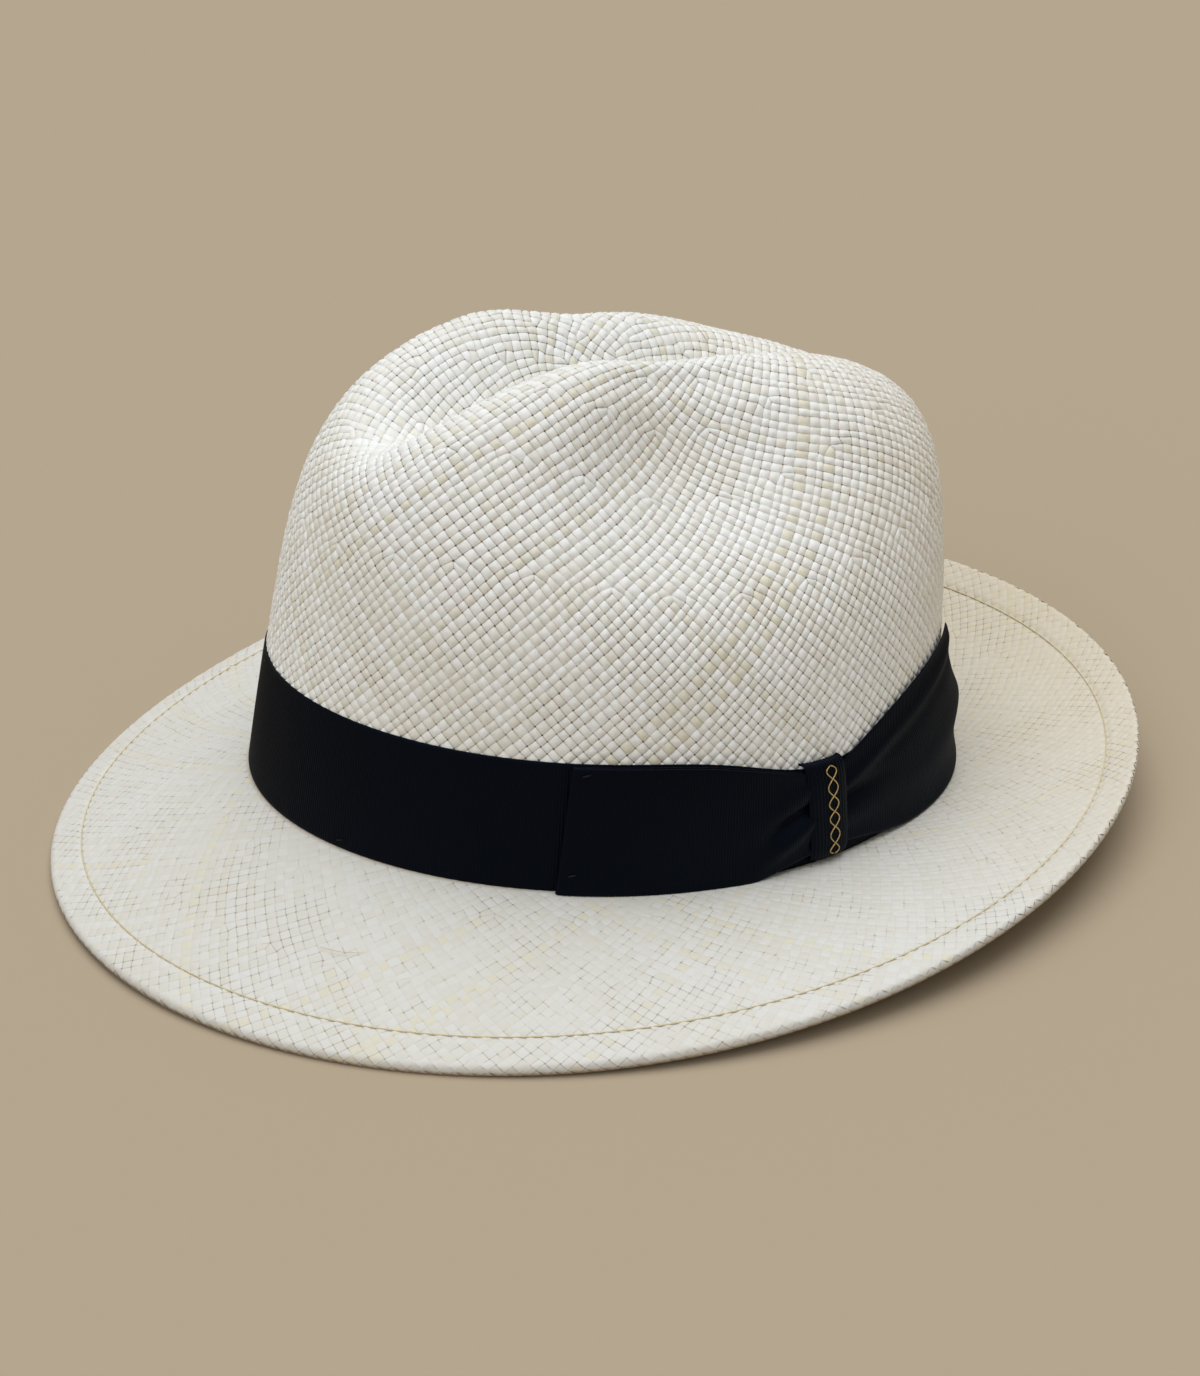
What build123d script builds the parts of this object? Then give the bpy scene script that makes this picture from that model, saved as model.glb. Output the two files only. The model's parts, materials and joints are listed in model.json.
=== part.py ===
from build123d import *
import os
from math import cos, degrees, exp, pi, radians, sin, sqrt

# A straw snap-brim fedora. Every piece is drawn in the hat's own frame, in millimetres: the line where
# the crown meets the brim is about level at z = 0, the front is -Y and the wearer's left, where the bow
# sits, is +X. At the end each piece is set down as the hat stands on a table: leaning back on its front
# edge and its rear break line, with the origin under the middle of the hat.
# Angles around the head run from 0 at the front, through 90 at the wearer's left, to 180 at the back.

# Head oval and crown
HALF_LENGTH = 101.6
HALF_WIDTH = 83.6
CROWN_HEIGHT = 128.2
STRAW = 1.2
FRONT_FULLNESS = 6.5
SIDE_FULLNESS = 3.0
FRONT_TAPER = 0.17
BACK_TAPER = 0.03
SIDE_TAPER = 0.13
BACK_SLOPE = 20.6
BACK_SLOPE_START = -32.0
BACK_SLOPE_RUN = 112.0
FRONT_DROOP = 17.3
FRONT_DROOP_START = -20.0
FRONT_DROOP_RUN = 65.0
BACK_LEAN = 3.4
BACK_LEAN_START = 5.0
BACK_LEAN_RUN = 55.0
BACK_LEAN_ACROSS = 25.0
# The teardrop crease along the top, and the pinch on each side below it
CREASE_DEPTH = 28.0
CREASE_WIDTH = 15.0
CREASE_NARROWING = 5.0
CREASE_FRONT = -97.0
CREASE_FRONT_RUN = 62.0
CREASE_BACK = 88.0
CREASE_BACK_RUN = 60.0
CREASE_NARROWING_START = -20.0
CREASE_NARROWING_RUN = 90.0
CREASE_DEPTH_START = 0.75
RIDGE_OFFSET = 23.0
PINCH_DEPTH = 20.0
PINCH_Y = -6.0
PINCH_Z = 101.0
PINCH_LENGTH = 49.0
PINCH_HEIGHT = 25.0
PINCH_EDGE = 24.0
# The break line: how much it drops to the back, and dips at the sides
BREAK_SLOPE = 3.6
BREAK_DIP = 0.8
BREAK_FADE = 0.5
# The brim's edge: its mean height, its fall to the front, and the unevenness of hand shaping
EDGE_MEAN = -3.2
EDGE_FALL = 21.1
EDGE_SADDLE = 1.5
EDGE_WAVE = 1.2
EDGE_LEFT_DROP = 1.3
EDGE_TWIST = 0.9
# Brim
BRIM_WIDTH = 58.7
BRIM_WIDER_ENDS = 1.7
BRIM_NARROWER_LEFT = 1.5
CURL = 1.5
CURL_LESS_IN_FRONT = 0.4
HEM_WIDTH = 8.5
HEM_THICKNESS = 2.6
FOLD_WIDTH = 1.0
WIRE_CHANNEL = 1.3
EDGE_BULGE = 0.7
WIRE_SIZE = 1.0
THREAD = 0.45
THREAD_CLEARANCE = 0.3
# The line where the front of the brim snaps up and down
SNAP_Y = -109.0
SNAP_GAP = 0.3
RUN_CLEARANCE = 1.5
# Hatband and bow
BAND_HEIGHT = 34.6
BAND_BOTTOM = 0.5
BAND_DIP = 7.6
BAND_DIP_SPREAD = 15.5
RIBBON = 0.7
BAND_OUT = 0.15
BOW_START = 59.0
KEEPER_ANGLE = 101.0
BOW_END = 147.0
LOOP_OUT = 2.0
LOOP_BACK_OUT = 1.1
LOOP_BELOW_BAND = 0.3
DRAW_IN_START = 0.55
TAIL_COVERED = 0.06
TAIL_TOP_START = 26.5
TAIL_RISE = 16.7
TAIL_RISE_CURVE = 2.4
TAIL_STANDS_OFF = 3.5
KEEPER_WIDTH = 11.5
KEEPER_LOW = 1.9
KEEPER_HIGH = 29.0
KEEPER_BACK = 1.3
KEEPER_FRONT = 4.0
MOTIF_COUNT = 5
MOTIF_FIRST = 7.0
MOTIF_PITCH = 4.2
MOTIF_SIZE = 2.4
MOTIF_THICKNESS = 0.3
TACK_LENGTH = 2.2
# Sweatband
SWEAT_TOP = 34.0
SWEAT_OUT = -2.25
SWEAT_LEAN = 1.6
SWEAT_BOTTOM = 2.8
LEATHER = 0.9
REED_RADIUS = 0.75
REED_HEIGHT = 1.6
TAPE = 0.25
TAPE_TOP = 6.0
TAPE_BOTTOM = 0.45
TAPE_HALF = 1.15
TAPE_STITCH_HEIGHT = 4.4
BACK_SEAM = 180.0
# How the hat stands
TILT = 3.9
RING_STEPS = 40


def smooth(x):
    """Ease from 0 to 1 as x goes from 0 to 1."""
    x = min(max(x, 0.0), 1.0)
    return x * x * (3 - 2 * x)


def bump(x, width):
    return exp(-((x / width) ** 2))


def outward(t):
    """The level outward direction of the head oval at angle t."""
    x = sin(t) / HALF_WIDTH
    y = -cos(t) / HALF_LENGTH
    size = sqrt(x * x + y * y)
    return Vector(x / size, y / size, 0)


def break_height(t):
    """The break line dips a little towards the back."""
    return BREAK_SLOPE * cos(t) + BREAK_DIP * cos(2 * t)


def edge_height(t):
    """The brim's edge: down at the front, up at the back, a little uneven from hand shaping."""
    even = EDGE_MEAN - EDGE_FALL * cos(t) + EDGE_SADDLE * cos(2 * t) + EDGE_WAVE * cos(3 * t)
    return even - EDGE_LEFT_DROP * sin(t) + EDGE_TWIST * sin(2 * t)


def crown(t, lift):
    """The crown's outer surface: lift runs from 0 at the break line to 90 degrees at the tip."""
    ends = cos(t) ** 2
    fullness = SIDE_FULLNESS + (FRONT_FULLNESS - SIDE_FULLNESS) * ends
    scale = (cos(lift) ** fullness + sin(lift) ** fullness) ** (-1 / fullness)
    radius = cos(lift) * scale
    height = sin(lift) * scale
    end_taper = FRONT_TAPER if cos(t) > 0 else BACK_TAPER
    radius *= 1 - (SIDE_TAPER * (1 - ends) + end_taper * ends) * height
    x = HALF_WIDTH * sin(t) * radius
    y = -HALF_LENGTH * cos(t) * radius
    z = CROWN_HEIGHT * height
    z -= BACK_SLOPE * (max(y - BACK_SLOPE_START, 0) / BACK_SLOPE_RUN) ** 1.5 * height**2
    z -= FRONT_DROOP * (max(FRONT_DROOP_START - y, 0) / FRONT_DROOP_RUN) ** 1.5 * height**2
    leaning = min(max(x / BACK_LEAN_ACROSS, -1), 1) * smooth((y - BACK_LEAN_START) / BACK_LEAN_RUN)
    z += BACK_LEAN * leaning * height**2
    pinch = PINCH_DEPTH * bump(y - PINCH_Y, PINCH_LENGTH) * bump(z - PINCH_Z, PINCH_HEIGHT)
    inward = pinch * smooth((abs(x) - 0.8 * RIDGE_OFFSET) / PINCH_EDGE)
    x += inward if x < 0 else -inward
    crease = smooth((y - CREASE_FRONT) / CREASE_FRONT_RUN) * smooth((CREASE_BACK - y) / CREASE_BACK_RUN)
    across = CREASE_WIDTH - CREASE_NARROWING * smooth((y - CREASE_NARROWING_START) / CREASE_NARROWING_RUN)
    deep = smooth((height - CREASE_DEPTH_START) / (1 - CREASE_DEPTH_START))
    z -= CREASE_DEPTH * crease * bump(x, across) * deep
    z += break_height(t) * (1 - smooth(height / BREAK_FADE))
    return Vector(x, y, z)


def crown_inside(t, lift):
    """The crown's inner surface, one straw thickness in along the surface normal."""
    step = 0.002
    here = crown(t, lift)
    normal = (crown(t + step, lift) - here).cross(crown(t, lift + step) - here)
    return here - normal.normalized() * STRAW


def brim(t, part, drop=0.0, beyond=0.0):
    """The brim: part runs from 0 at the break line to 1 at the edge, and drop is down from its top face."""
    start = break_height(t)
    fall = edge_height(t) - start
    width = BRIM_WIDTH + BRIM_WIDER_ENDS * cos(2 * t) - BRIM_NARROWER_LEFT * sin(t)
    reach = sqrt(width**2 - fall**2) * part + beyond
    curl = CURL - CURL_LESS_IN_FRONT * cos(t)
    base = Vector(HALF_WIDTH * sin(t), -HALF_LENGTH * cos(t), start + fall * part**curl - drop)
    return base + outward(t) * reach


def wall(t, height, out=0.0):
    """A point on the crown's outer wall at a height above the break line, moved out level by out."""
    low, high = 0.0, radians(60)
    target = break_height(t) + height
    for _ in range(24):
        middle = (low + high) / 2
        if crown(t, middle).Z < target:
            low = middle
        else:
            high = middle
    return crown(t, low) + outward(t) * out


def around(point, *where):
    """A closed ring of points around the head."""
    return [point(2 * pi * k / RING_STEPS, *where) for k in range(RING_STEPS)]


def closed_curve(points):
    return Edge.make_spline(points, periodic=True)


def skin(rings, joined):
    """A solid from rings of points. Joined rings close on the first, others end in flat caps."""
    edges = [closed_curve(ring) for ring in rings]
    pairs = list(zip(edges, edges[1:]))
    if joined:
        pairs.append((edges[-1], edges[0]))
    faces = [Face.make_surface_from_curves(a, b) for a, b in pairs]
    if not joined:
        faces += [Face(Wire([edges[0]])), Face(Wire([edges[-1]]))]
    return Solid(Shell(faces))


def flat(ring):
    """The small ring at the tip, made level so that it can be capped."""
    level = sum(p.Z for p in ring) / len(ring)
    return [Vector(p.X, p.Y, level) for p in ring]


def strip(corners):
    """A long thin solid between four curves, given as lists of points, in order around its section."""
    runs = [Edge.make_spline(points) for points in corners]
    faces = [Face.make_surface_from_curves(a, b) for a, b in zip(runs, runs[1:] + runs[:1])]
    for end in (0, -1):
        first, second, third, fourth = [points[end] for points in corners]
        sides = Edge.make_line(first, second), Edge.make_line(fourth, third)
        faces.append(Face.make_surface_from_curves(*sides))
    return Solid(Shell(faces))


def folded_hem():
    """The rings around the folded edge: over the edge, under the hem, and back in to the wire."""
    hem = 1 - HEM_WIDTH / BRIM_WIDTH
    fold = 1 - FOLD_WIDTH / BRIM_WIDTH
    near = fold - WIRE_CHANNEL / BRIM_WIDTH
    slit = HEM_THICKNESS - STRAW
    middle = HEM_THICKNESS / 2
    half = WIRE_CHANNEL / 2
    return [
        around(brim, 1.0, middle, EDGE_BULGE),
        around(brim, 1.0, HEM_THICKNESS),
        around(brim, hem, HEM_THICKNESS),
        around(brim, hem, slit),
        around(brim, near, slit),
        around(brim, near, middle + half),
        around(brim, fold, middle + half),
        around(brim, fold, middle - half),
        around(brim, near, middle - half),
        around(brim, near, STRAW),
    ]


def straw():
    """Crown and brim as one woven body, with the edge folded under as a hem."""
    rows, cap = 18, 89
    lifts = [radians(cap - cap * k / rows) for k in range(rows + 1)]
    outside = [around(crown, lift) for lift in lifts]
    top = [around(brim, part) for part in (0.08, 0.2, 0.4, 0.6, 0.8, 1.0)]
    under = [around(brim, part, STRAW) for part in (0.8, 0.6, 0.4, 0.2, 0.0)]
    inside = [around(crown_inside, lift) for lift in reversed(lifts)]
    outside[0] = flat(outside[0])
    inside[-1] = flat(inside[-1])
    return skin(outside + top + folded_hem() + under + inside, joined=False)


def half_space(near_y, ahead):
    """A large block in front of the snap line, or behind it."""
    size = 400
    y = near_y - size / 2 if ahead else near_y + size / 2
    return Pos(0, y, 0) * Box(size, size, size)


def snap_angle(part):
    """The angle at which the brim crosses the snap line, at one part of its width."""
    low, high = 0.0, pi / 2
    for _ in range(30):
        middle = (low + high) / 2
        if brim(middle, part).Y < SNAP_Y:
            low = middle
        else:
            high = middle
    return low


def brim_run(front, part, drop, size):
    """A square run along the front or the rear of the brim, clear of the snap line."""
    clear = radians(RUN_CLEARANCE)
    cut = snap_angle(part)
    start, end = (-cut + clear, cut - clear) if front else (cut + clear, 2 * pi - cut - clear)
    steps = 12 if front else 36
    angles = [start + (end - start) * k / steps for k in range(steps + 1)]
    near = part - size / 2 / BRIM_WIDTH
    far = part + size / 2 / BRIM_WIDTH
    section = [(near, drop), (far, drop), (far, drop + size), (near, drop + size)]
    return strip([[brim(t, *corner) for t in angles] for corner in section])


def brim_wire(front):
    """The wire in the hem that holds the brim's shape."""
    part = 1 - (FOLD_WIDTH + WIRE_CHANNEL / 2) / BRIM_WIDTH
    return brim_run(front, part, (HEM_THICKNESS - WIRE_SIZE) / 2, WIRE_SIZE)


def hem_thread(front):
    """The row of stitching that holds the hem, lying on top of the straw."""
    part = 1 - (HEM_WIDTH - 1) / BRIM_WIDTH
    return brim_run(front, part, -THREAD - THREAD_CLEARANCE, THREAD)


def band_top(t):
    """The height of the band's upper edge, which the keeper draws down where it gathers the band."""
    return BAND_HEIGHT - BAND_DIP * bump(degrees(t) - KEEPER_ANGLE, BAND_DIP_SPREAD)


def band_wall(t, share, out):
    """A point on the crown's wall, a share of the way up the hatband."""
    return wall(t, BAND_BOTTOM + (band_top(t) - BAND_BOTTOM) * share, out)


def hatband():
    shares = (0.0, 0.5, 1.0)
    outer = [around(band_wall, share, BAND_OUT + RIBBON) for share in shares]
    inner = [around(band_wall, share, BAND_OUT) for share in reversed(shares)]
    return skin(outer + inner, joined=True)


def panel(start, end, low, high, out, thickness=RIBBON, steps=10):
    """A piece of ribbon along the wall. low, high and out are functions of the way along it, 0 to 1."""
    ways = [k / steps for k in range(steps + 1)]
    section = [(low, 0), (low, thickness), (high, thickness), (high, 0)]
    corners = []
    for height, proud in section:
        corners.append([wall(radians(start + (end - start) * a), height(a), out(a) + proud) for a in ways])
    return strip(corners)


def narrowing(wide, narrow):
    """An edge that runs straight and then draws in to the keeper."""
    return lambda along: wide + (narrow - wide) * smooth((along - DRAW_IN_START) / (1 - DRAW_IN_START))


def loop_layer(start, low_at_fold, low_at_keeper, below_band, out):
    """One layer of the bow's front loop, with its upper edge just below the band's."""

    def high(along):
        return band_top(radians(start + (KEEPER_ANGLE - start) * along)) - below_band

    return panel(start, KEEPER_ANGLE, narrowing(low_at_fold, low_at_keeper), high, lambda a: out)


def bow_loop():
    """The front loop of the bow, a flat fold of ribbon drawn in under the keeper."""
    return loop_layer(BOW_START, 0.6, 4.5, LOOP_BELOW_BAND, LOOP_OUT)


def bow_loop_back():
    """The layer behind the front loop."""
    return loop_layer(BOW_START + 1.5, 1.2, 5.0, LOOP_BELOW_BAND + 0.5, LOOP_BACK_OUT)


def tail_top(along):
    """The tail's upper edge, which climbs the crown from the keeper to the cut end."""
    free = max(along - TAIL_COVERED, 0) / (1 - TAIL_COVERED)
    return TAIL_TOP_START + TAIL_RISE * (1 - (1 - free) ** TAIL_RISE_CURVE)


def bow_tail():
    """The rear tail, which fans out from the keeper and stands a little off the band at its cut end."""
    return panel(
        KEEPER_ANGLE + 1,
        BOW_END,
        lambda a: 4.5 - 3.7 * smooth(a / 0.5),
        tail_top,
        lambda a: LOOP_BACK_OUT + TAIL_STANDS_OFF * a**2,
    )


def on_wall(angle, height, out):
    """A plane on the crown's wall, facing out, with its x axis along the band."""
    t = radians(angle)
    along = (wall(t + 0.01, height, out) - wall(t - 0.01, height, out)).normalized()
    upward = (wall(t, height + 1, out) - wall(t, height - 1, out)).normalized()
    return Plane(origin=wall(t, height, out), x_dir=along, z_dir=along.cross(upward))


def bow_keeper():
    """The strap over the middle of the bow, which turns in at its top and bottom."""
    half, back, front = (KEEPER_HIGH - KEEPER_LOW) / 2, KEEPER_BACK, KEEPER_FRONT
    outline = [
        (-half, back),
        (-half, front),
        (half, front),
        (half, back),
        (half - RIBBON, back),
        (half - RIBBON, front - RIBBON),
        (RIBBON - half, front - RIBBON),
        (RIBBON - half, back),
    ]
    seat = on_wall(KEEPER_ANGLE, (KEEPER_HIGH + KEEPER_LOW) / 2, 0)
    profile = Face(Wire.make_polygon([(-KEEPER_WIDTH / 2, y, z) for y, z in outline]))
    return seat * extrude(profile, amount=KEEPER_WIDTH, dir=(1, 0, 0))


def keeper_motif():
    """A plain woven row of gold lozenges down the keeper."""
    lozenge = Rot(0, 0, 45) * Box(MOTIF_SIZE, MOTIF_SIZE, MOTIF_THICKNESS)
    out = KEEPER_FRONT + MOTIF_THICKNESS
    heights = [MOTIF_FIRST + MOTIF_PITCH * k for k in range(MOTIF_COUNT)]
    return Compound([on_wall(KEEPER_ANGLE, height, out) * lozenge for height in heights])


def tacks(places, out):
    """Short hand stitches that hold the ribbon to the straw."""
    stitch = Box(TACK_LENGTH, THREAD, THREAD)
    return Compound([on_wall(angle, height, out) * stitch for angle, height in places])


def sweat_out(height):
    return SWEAT_OUT - SWEAT_LEAN * (max(height, 0) / SWEAT_TOP) ** 1.5


def sweatband():
    """The leather band inside the crown, which leans in a little towards its free upper edge."""
    heights = (SWEAT_BOTTOM, 12.0, 23.0, SWEAT_TOP)
    outer = [around(wall, height, sweat_out(height)) for height in heights]
    inner = [around(wall, height, sweat_out(height) - LEATHER) for height in reversed(heights)]
    return skin(outer + inner, joined=True)


def reed():
    """The reed that stiffens the sweatband's lower edge."""
    centre = SWEAT_OUT - LEATHER / 2
    angles = [pi / 4 * k for k in range(8)]
    rings = [around(wall, REED_HEIGHT + REED_RADIUS * sin(a), centre + REED_RADIUS * cos(a)) for a in angles]
    return skin(rings, joined=True)


def reed_tape():
    """The tape folded under the reed and stitched to the leather on both sides."""
    centre = SWEAT_OUT - LEATHER / 2
    half, bottom = TAPE_HALF, TAPE_BOTTOM
    profile = [
        (TAPE_TOP, half),
        (bottom + 0.4, half),
        (bottom, half - 0.4),
        (bottom, 0.4 - half),
        (bottom + 0.4, -half),
        (TAPE_TOP, -half),
        (TAPE_TOP, TAPE - half),
        (bottom + 0.5, TAPE - half),
        (bottom + TAPE, 0.5 - half),
        (bottom + TAPE, half - 0.5),
        (bottom + 0.5, half - TAPE),
        (TAPE_TOP, half - TAPE),
    ]
    return skin([around(wall, height, centre + out) for height, out in profile], joined=True)


def sweatband_thread():
    """The stitching through the tape and the leather."""
    near = SWEAT_OUT - LEATHER / 2 - TAPE_HALF - 0.1
    low, high = TAPE_STITCH_HEIGHT, TAPE_STITCH_HEIGHT + THREAD
    corners = [(low, near), (high, near), (high, near - THREAD), (low, near - THREAD)]
    return skin([around(wall, height, out) for height, out in corners], joined=True)


def inner_panel(start, end, low, high, gap, thickness):
    """A flat piece that lies on the inner face of the sweatband."""
    angles = [radians(start + (end - start) * k / 4) for k in range(5)]
    section = [(low, 0), (low, thickness), (high, thickness), (high, 0)]
    corners = []
    for height, proud in section:
        corners.append([wall(t, height, sweat_out(height) - LEATHER - gap - proud) for t in angles])
    return strip(corners)


def seam_tape():
    """The tape over the sweatband's join at the back of the head."""
    return inner_panel(BACK_SEAM - 3, BACK_SEAM + 3, 7.0, 33.0, 0.15, 0.4)


def sweatband_bow():
    """The small bow that marks the back of the sweatband: two flat loops and a knot."""
    left = inner_panel(BACK_SEAM - 10.5, BACK_SEAM - 1, 9.0, 15.0, 0.7, 1.4)
    right = inner_panel(BACK_SEAM + 1, BACK_SEAM + 10.5, 9.0, 15.0, 0.7, 1.4)
    knot = inner_panel(BACK_SEAM - 0.9, BACK_SEAM + 0.9, 9.6, 14.4, 0.7, 2.0)
    return Compound([left, right, knot])


def size_label():
    """A blank label at the upper edge of the sweatband."""
    return inner_panel(158, 165.5, 22.0, 31.0, 0.15, 0.3)


def standing():
    """How the hat is set down: leaned back, lifted onto its lowest points and centred over the origin."""
    lean = Location((0, 0, 0), (-TILT, 0, 0))
    angles = [radians(k / 2) for k in range(720)]
    rim = [brim(t, 1.0, HEM_THICKNESS * 0.5, EDGE_BULGE) for t in angles]
    low = [brim(t, part, HEM_THICKNESS if part > 0.9 else STRAW) for t in angles for part in (0.0, 1.0)]
    rim = [(lean * Pos(*p)).position for p in rim]
    low = [(lean * Pos(*p)).position for p in low]
    x = (min(p.X for p in rim) + max(p.X for p in rim)) / 2
    y = (min(p.Y for p in rim) + max(p.Y for p in rim)) / 2
    z = min(p.Z for p in low)
    return Location((-x, -y, -z)) * lean


def pieces():
    """Every piece of the hat by name."""
    woven = straw()
    return {
        "straw_body": woven & half_space(SNAP_Y + SNAP_GAP / 2, ahead=False),
        "brim_front": woven & half_space(SNAP_Y - SNAP_GAP / 2, ahead=True),
        "brim_wire_rear": brim_wire(front=False),
        "brim_wire_front": brim_wire(front=True),
        "hem_thread_rear": hem_thread(front=False),
        "hem_thread_front": hem_thread(front=True),
        "hatband": hatband(),
        "hatband_tacks": tacks([(-150, 2.2), (-60, 2.2), (20, 2.2), (-105, 32.8), (-15, 32.8)], 1.15),
        "bow_loop": bow_loop(),
        "bow_loop_back": bow_loop_back(),
        "bow_tail": bow_tail(),
        "bow_keeper": bow_keeper(),
        "keeper_motif": keeper_motif(),
        "bow_tacks": tacks([(BOW_START + 3, 3.0), (BOW_START + 3, 32.5), (BOW_START + 30, 3.4)], 3.0),
        "sweatband": sweatband(),
        "sweatband_reed": reed(),
        "reed_tape": reed_tape(),
        "sweatband_thread": sweatband_thread(),
        "seam_tape": seam_tape(),
        "sweatband_bow": sweatband_bow(),
        "size_label": size_label(),
    }


def snap_pivot():
    """The middle of the snap line, just above the brim's top face, about which the front turns."""
    crossings = [brim(snap_angle(part / 40), part / 40).Z for part in range(6, 41)]
    return Pos(0, SNAP_Y, max(crossings) + 0.2)


os.makedirs("parts", exist_ok=True)
stand = standing()
for name, shape in pieces().items():
    export_step(stand * shape, f"parts/{name}.step")
print("snap line's pivot", (stand * snap_pivot()).position)
print("the hat's own frame stands at", stand)
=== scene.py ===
import json
import math

import bmesh
import bpy
import numpy as np
from mathutils import Matrix, Vector


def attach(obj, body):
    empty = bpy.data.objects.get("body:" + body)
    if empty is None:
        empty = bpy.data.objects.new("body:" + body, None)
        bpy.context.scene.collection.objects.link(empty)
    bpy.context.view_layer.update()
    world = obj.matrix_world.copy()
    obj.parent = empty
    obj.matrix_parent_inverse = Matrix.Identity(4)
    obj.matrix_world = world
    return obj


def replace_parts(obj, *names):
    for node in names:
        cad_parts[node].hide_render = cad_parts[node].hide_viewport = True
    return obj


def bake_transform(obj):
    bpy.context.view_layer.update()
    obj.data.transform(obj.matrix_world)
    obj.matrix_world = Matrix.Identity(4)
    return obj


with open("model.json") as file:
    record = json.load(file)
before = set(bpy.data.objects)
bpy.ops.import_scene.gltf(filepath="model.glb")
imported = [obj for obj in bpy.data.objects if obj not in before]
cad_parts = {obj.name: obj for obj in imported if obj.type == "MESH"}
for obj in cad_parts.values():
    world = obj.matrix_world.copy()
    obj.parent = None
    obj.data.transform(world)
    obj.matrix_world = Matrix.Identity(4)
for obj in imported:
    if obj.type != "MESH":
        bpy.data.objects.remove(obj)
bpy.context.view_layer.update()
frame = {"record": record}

# A straw snap-brim fedora. Shapes are worked out in the hat's own frame in millimetres, with the break
# line level, the front at -Y and the wearer's left at +X. They are then set down as the frame's head
# opening says.
# Angles around the head run from 0 at the front, through 90 degrees at the wearer's left, to 180 at the back.

TURN = 2 * math.pi
MM = 0.001

# The hat's sizes in millimetres and angles in degrees, the same as those that the frame was built with
HALF_LENGTH = 101.6
HALF_WIDTH = 83.6
CROWN_HEIGHT = 128.2
STRAW = 1.2
FRONT_FULLNESS = 6.5
SIDE_FULLNESS = 3.0
FRONT_TAPER = 0.17
BACK_TAPER = 0.03
SIDE_TAPER = 0.13
BACK_SLOPE = 20.6
BACK_SLOPE_START = -32.0
BACK_SLOPE_RUN = 112.0
FRONT_DROOP = 17.3
FRONT_DROOP_START = -20.0
FRONT_DROOP_RUN = 65.0
BACK_LEAN = 3.4
BACK_LEAN_START = 5.0
BACK_LEAN_RUN = 55.0
BACK_LEAN_ACROSS = 25.0
CREASE_DEPTH = 28.0
CREASE_WIDTH = 15.0
CREASE_NARROWING = 5.0
CREASE_FRONT = -97.0
CREASE_FRONT_RUN = 62.0
CREASE_BACK = 88.0
CREASE_BACK_RUN = 60.0
CREASE_NARROWING_START = -20.0
CREASE_NARROWING_RUN = 90.0
CREASE_DEPTH_START = 0.75
RIDGE_OFFSET = 23.0
PINCH_DEPTH = 20.0
PINCH_Y = -6.0
PINCH_Z = 101.0
PINCH_LENGTH = 49.0
PINCH_HEIGHT = 25.0
PINCH_EDGE = 24.0
BREAK_SLOPE = 3.6
BREAK_DIP = 0.8
BREAK_FADE = 0.5
EDGE_MEAN = -3.2
EDGE_FALL = 21.1
EDGE_SADDLE = 1.5
EDGE_WAVE = 1.2
EDGE_LEFT_DROP = 1.3
EDGE_TWIST = 0.9
BRIM_WIDTH = 58.7
BRIM_WIDER_ENDS = 1.7
BRIM_NARROWER_LEFT = 1.5
CURL = 1.5
CURL_LESS_IN_FRONT = 0.4
HEM_WIDTH = 8.5
HEM_THICKNESS = 2.6
EDGE_BULGE = 0.7
BAND_HEIGHT = 34.6
BAND_DIP = 7.6
BAND_DIP_SPREAD = 15.5
BOW_START = 59.0
KEEPER_ANGLE = 101.0
BOW_END = 147.0
SWEAT_BOTTOM = 2.8
SWEAT_TOP = 34.0
SWEAT_OUT = -2.25
SWEAT_LEAN = 1.6
LEATHER = 0.9
REED_RADIUS = 0.75
REED_HEIGHT = 1.6
TAPE = 0.25
TAPE_TOP = 6.0
TAPE_BOTTOM = 0.45
TAPE_HALF = 1.15
TAPE_STITCH_HEIGHT = 4.4
BACK_SEAM = 180.0

RIBBON = 0.7
BAND_OUT = 0.15
LOOP_OUT = 2.0
LOOP_BACK_OUT = 1.1
LOOP_BELOW_BAND = 0.3
TAIL_COVERED = 0.06
TAIL_TOP_START = 26.5
TAIL_RISE = 16.7
TAIL_RISE_CURVE = 2.4
KEEPER_BACK = 1.3
KEEPER_FRONT = 4.0
KEEPER_LOW = 1.9
KEEPER_HIGH = 29.0
THREAD = 0.45

# What the looks add to the frame's plain ribbon and leather, in millimetres: how far pleats, folds and
# waves stand out, the heights of the lower edges, and the motif's thread. The tail stands off 0.2 mm more
# than in the frame.
PLEAT_HOLLOW = 1.9
PLEAT_RIDGE = 1.5
PLEAT_LOW_RIDGE = 0.9
PLEAT_FINE = 0.25
LOOP_PUFF = 0.5
LOOP_RIPPLE = 0.25
LOOP_FOOT = -1.4
LOOP_FOOT_RISE = 5.6
TAIL_FOLD = 1.6
TAIL_UPPER_RIDGE = 1.3
TAIL_LOWER_RIDGE = 1.1
TAIL_CREASE = 0.4
TAIL_WAVES = 0.5
TAIL_STANDS_OFF = 3.7
TAIL_FOOT = 4.2
TAIL_FOOT_FALL = 3.6
KEEPER_SIDE_DROP = 0.9
MOTIF_RADIUS = 0.17
MOTIF_OVER = 0.12
MOTIF_STANDS = 0.6
SWEAT_RIPPLE = 0.22

# How round the loop's fold is, as a share of the loop's length, the keeper's width in radians around the
# head, and how many turns the motif's threads make
LOOP_FOLD = 0.014
KEEPER_ARC = 0.128
MOTIF_TURNS = 3

# Stitches in the brim's hem, on each face, and in the sweatband
HEM_STITCHES = 330
ZIGZAG_STITCHES = 210

# The weave: the distance across a lattice cell and how proud a straw stands of the sheet, in millimetres,
# and the seed of the random draws
CELL = 3.6
CROWN_RELIEF = 0.56
BRIM_RELIEF = 0.12
SEED = 7


# ---------------------------------------------------------------- shapes


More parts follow.
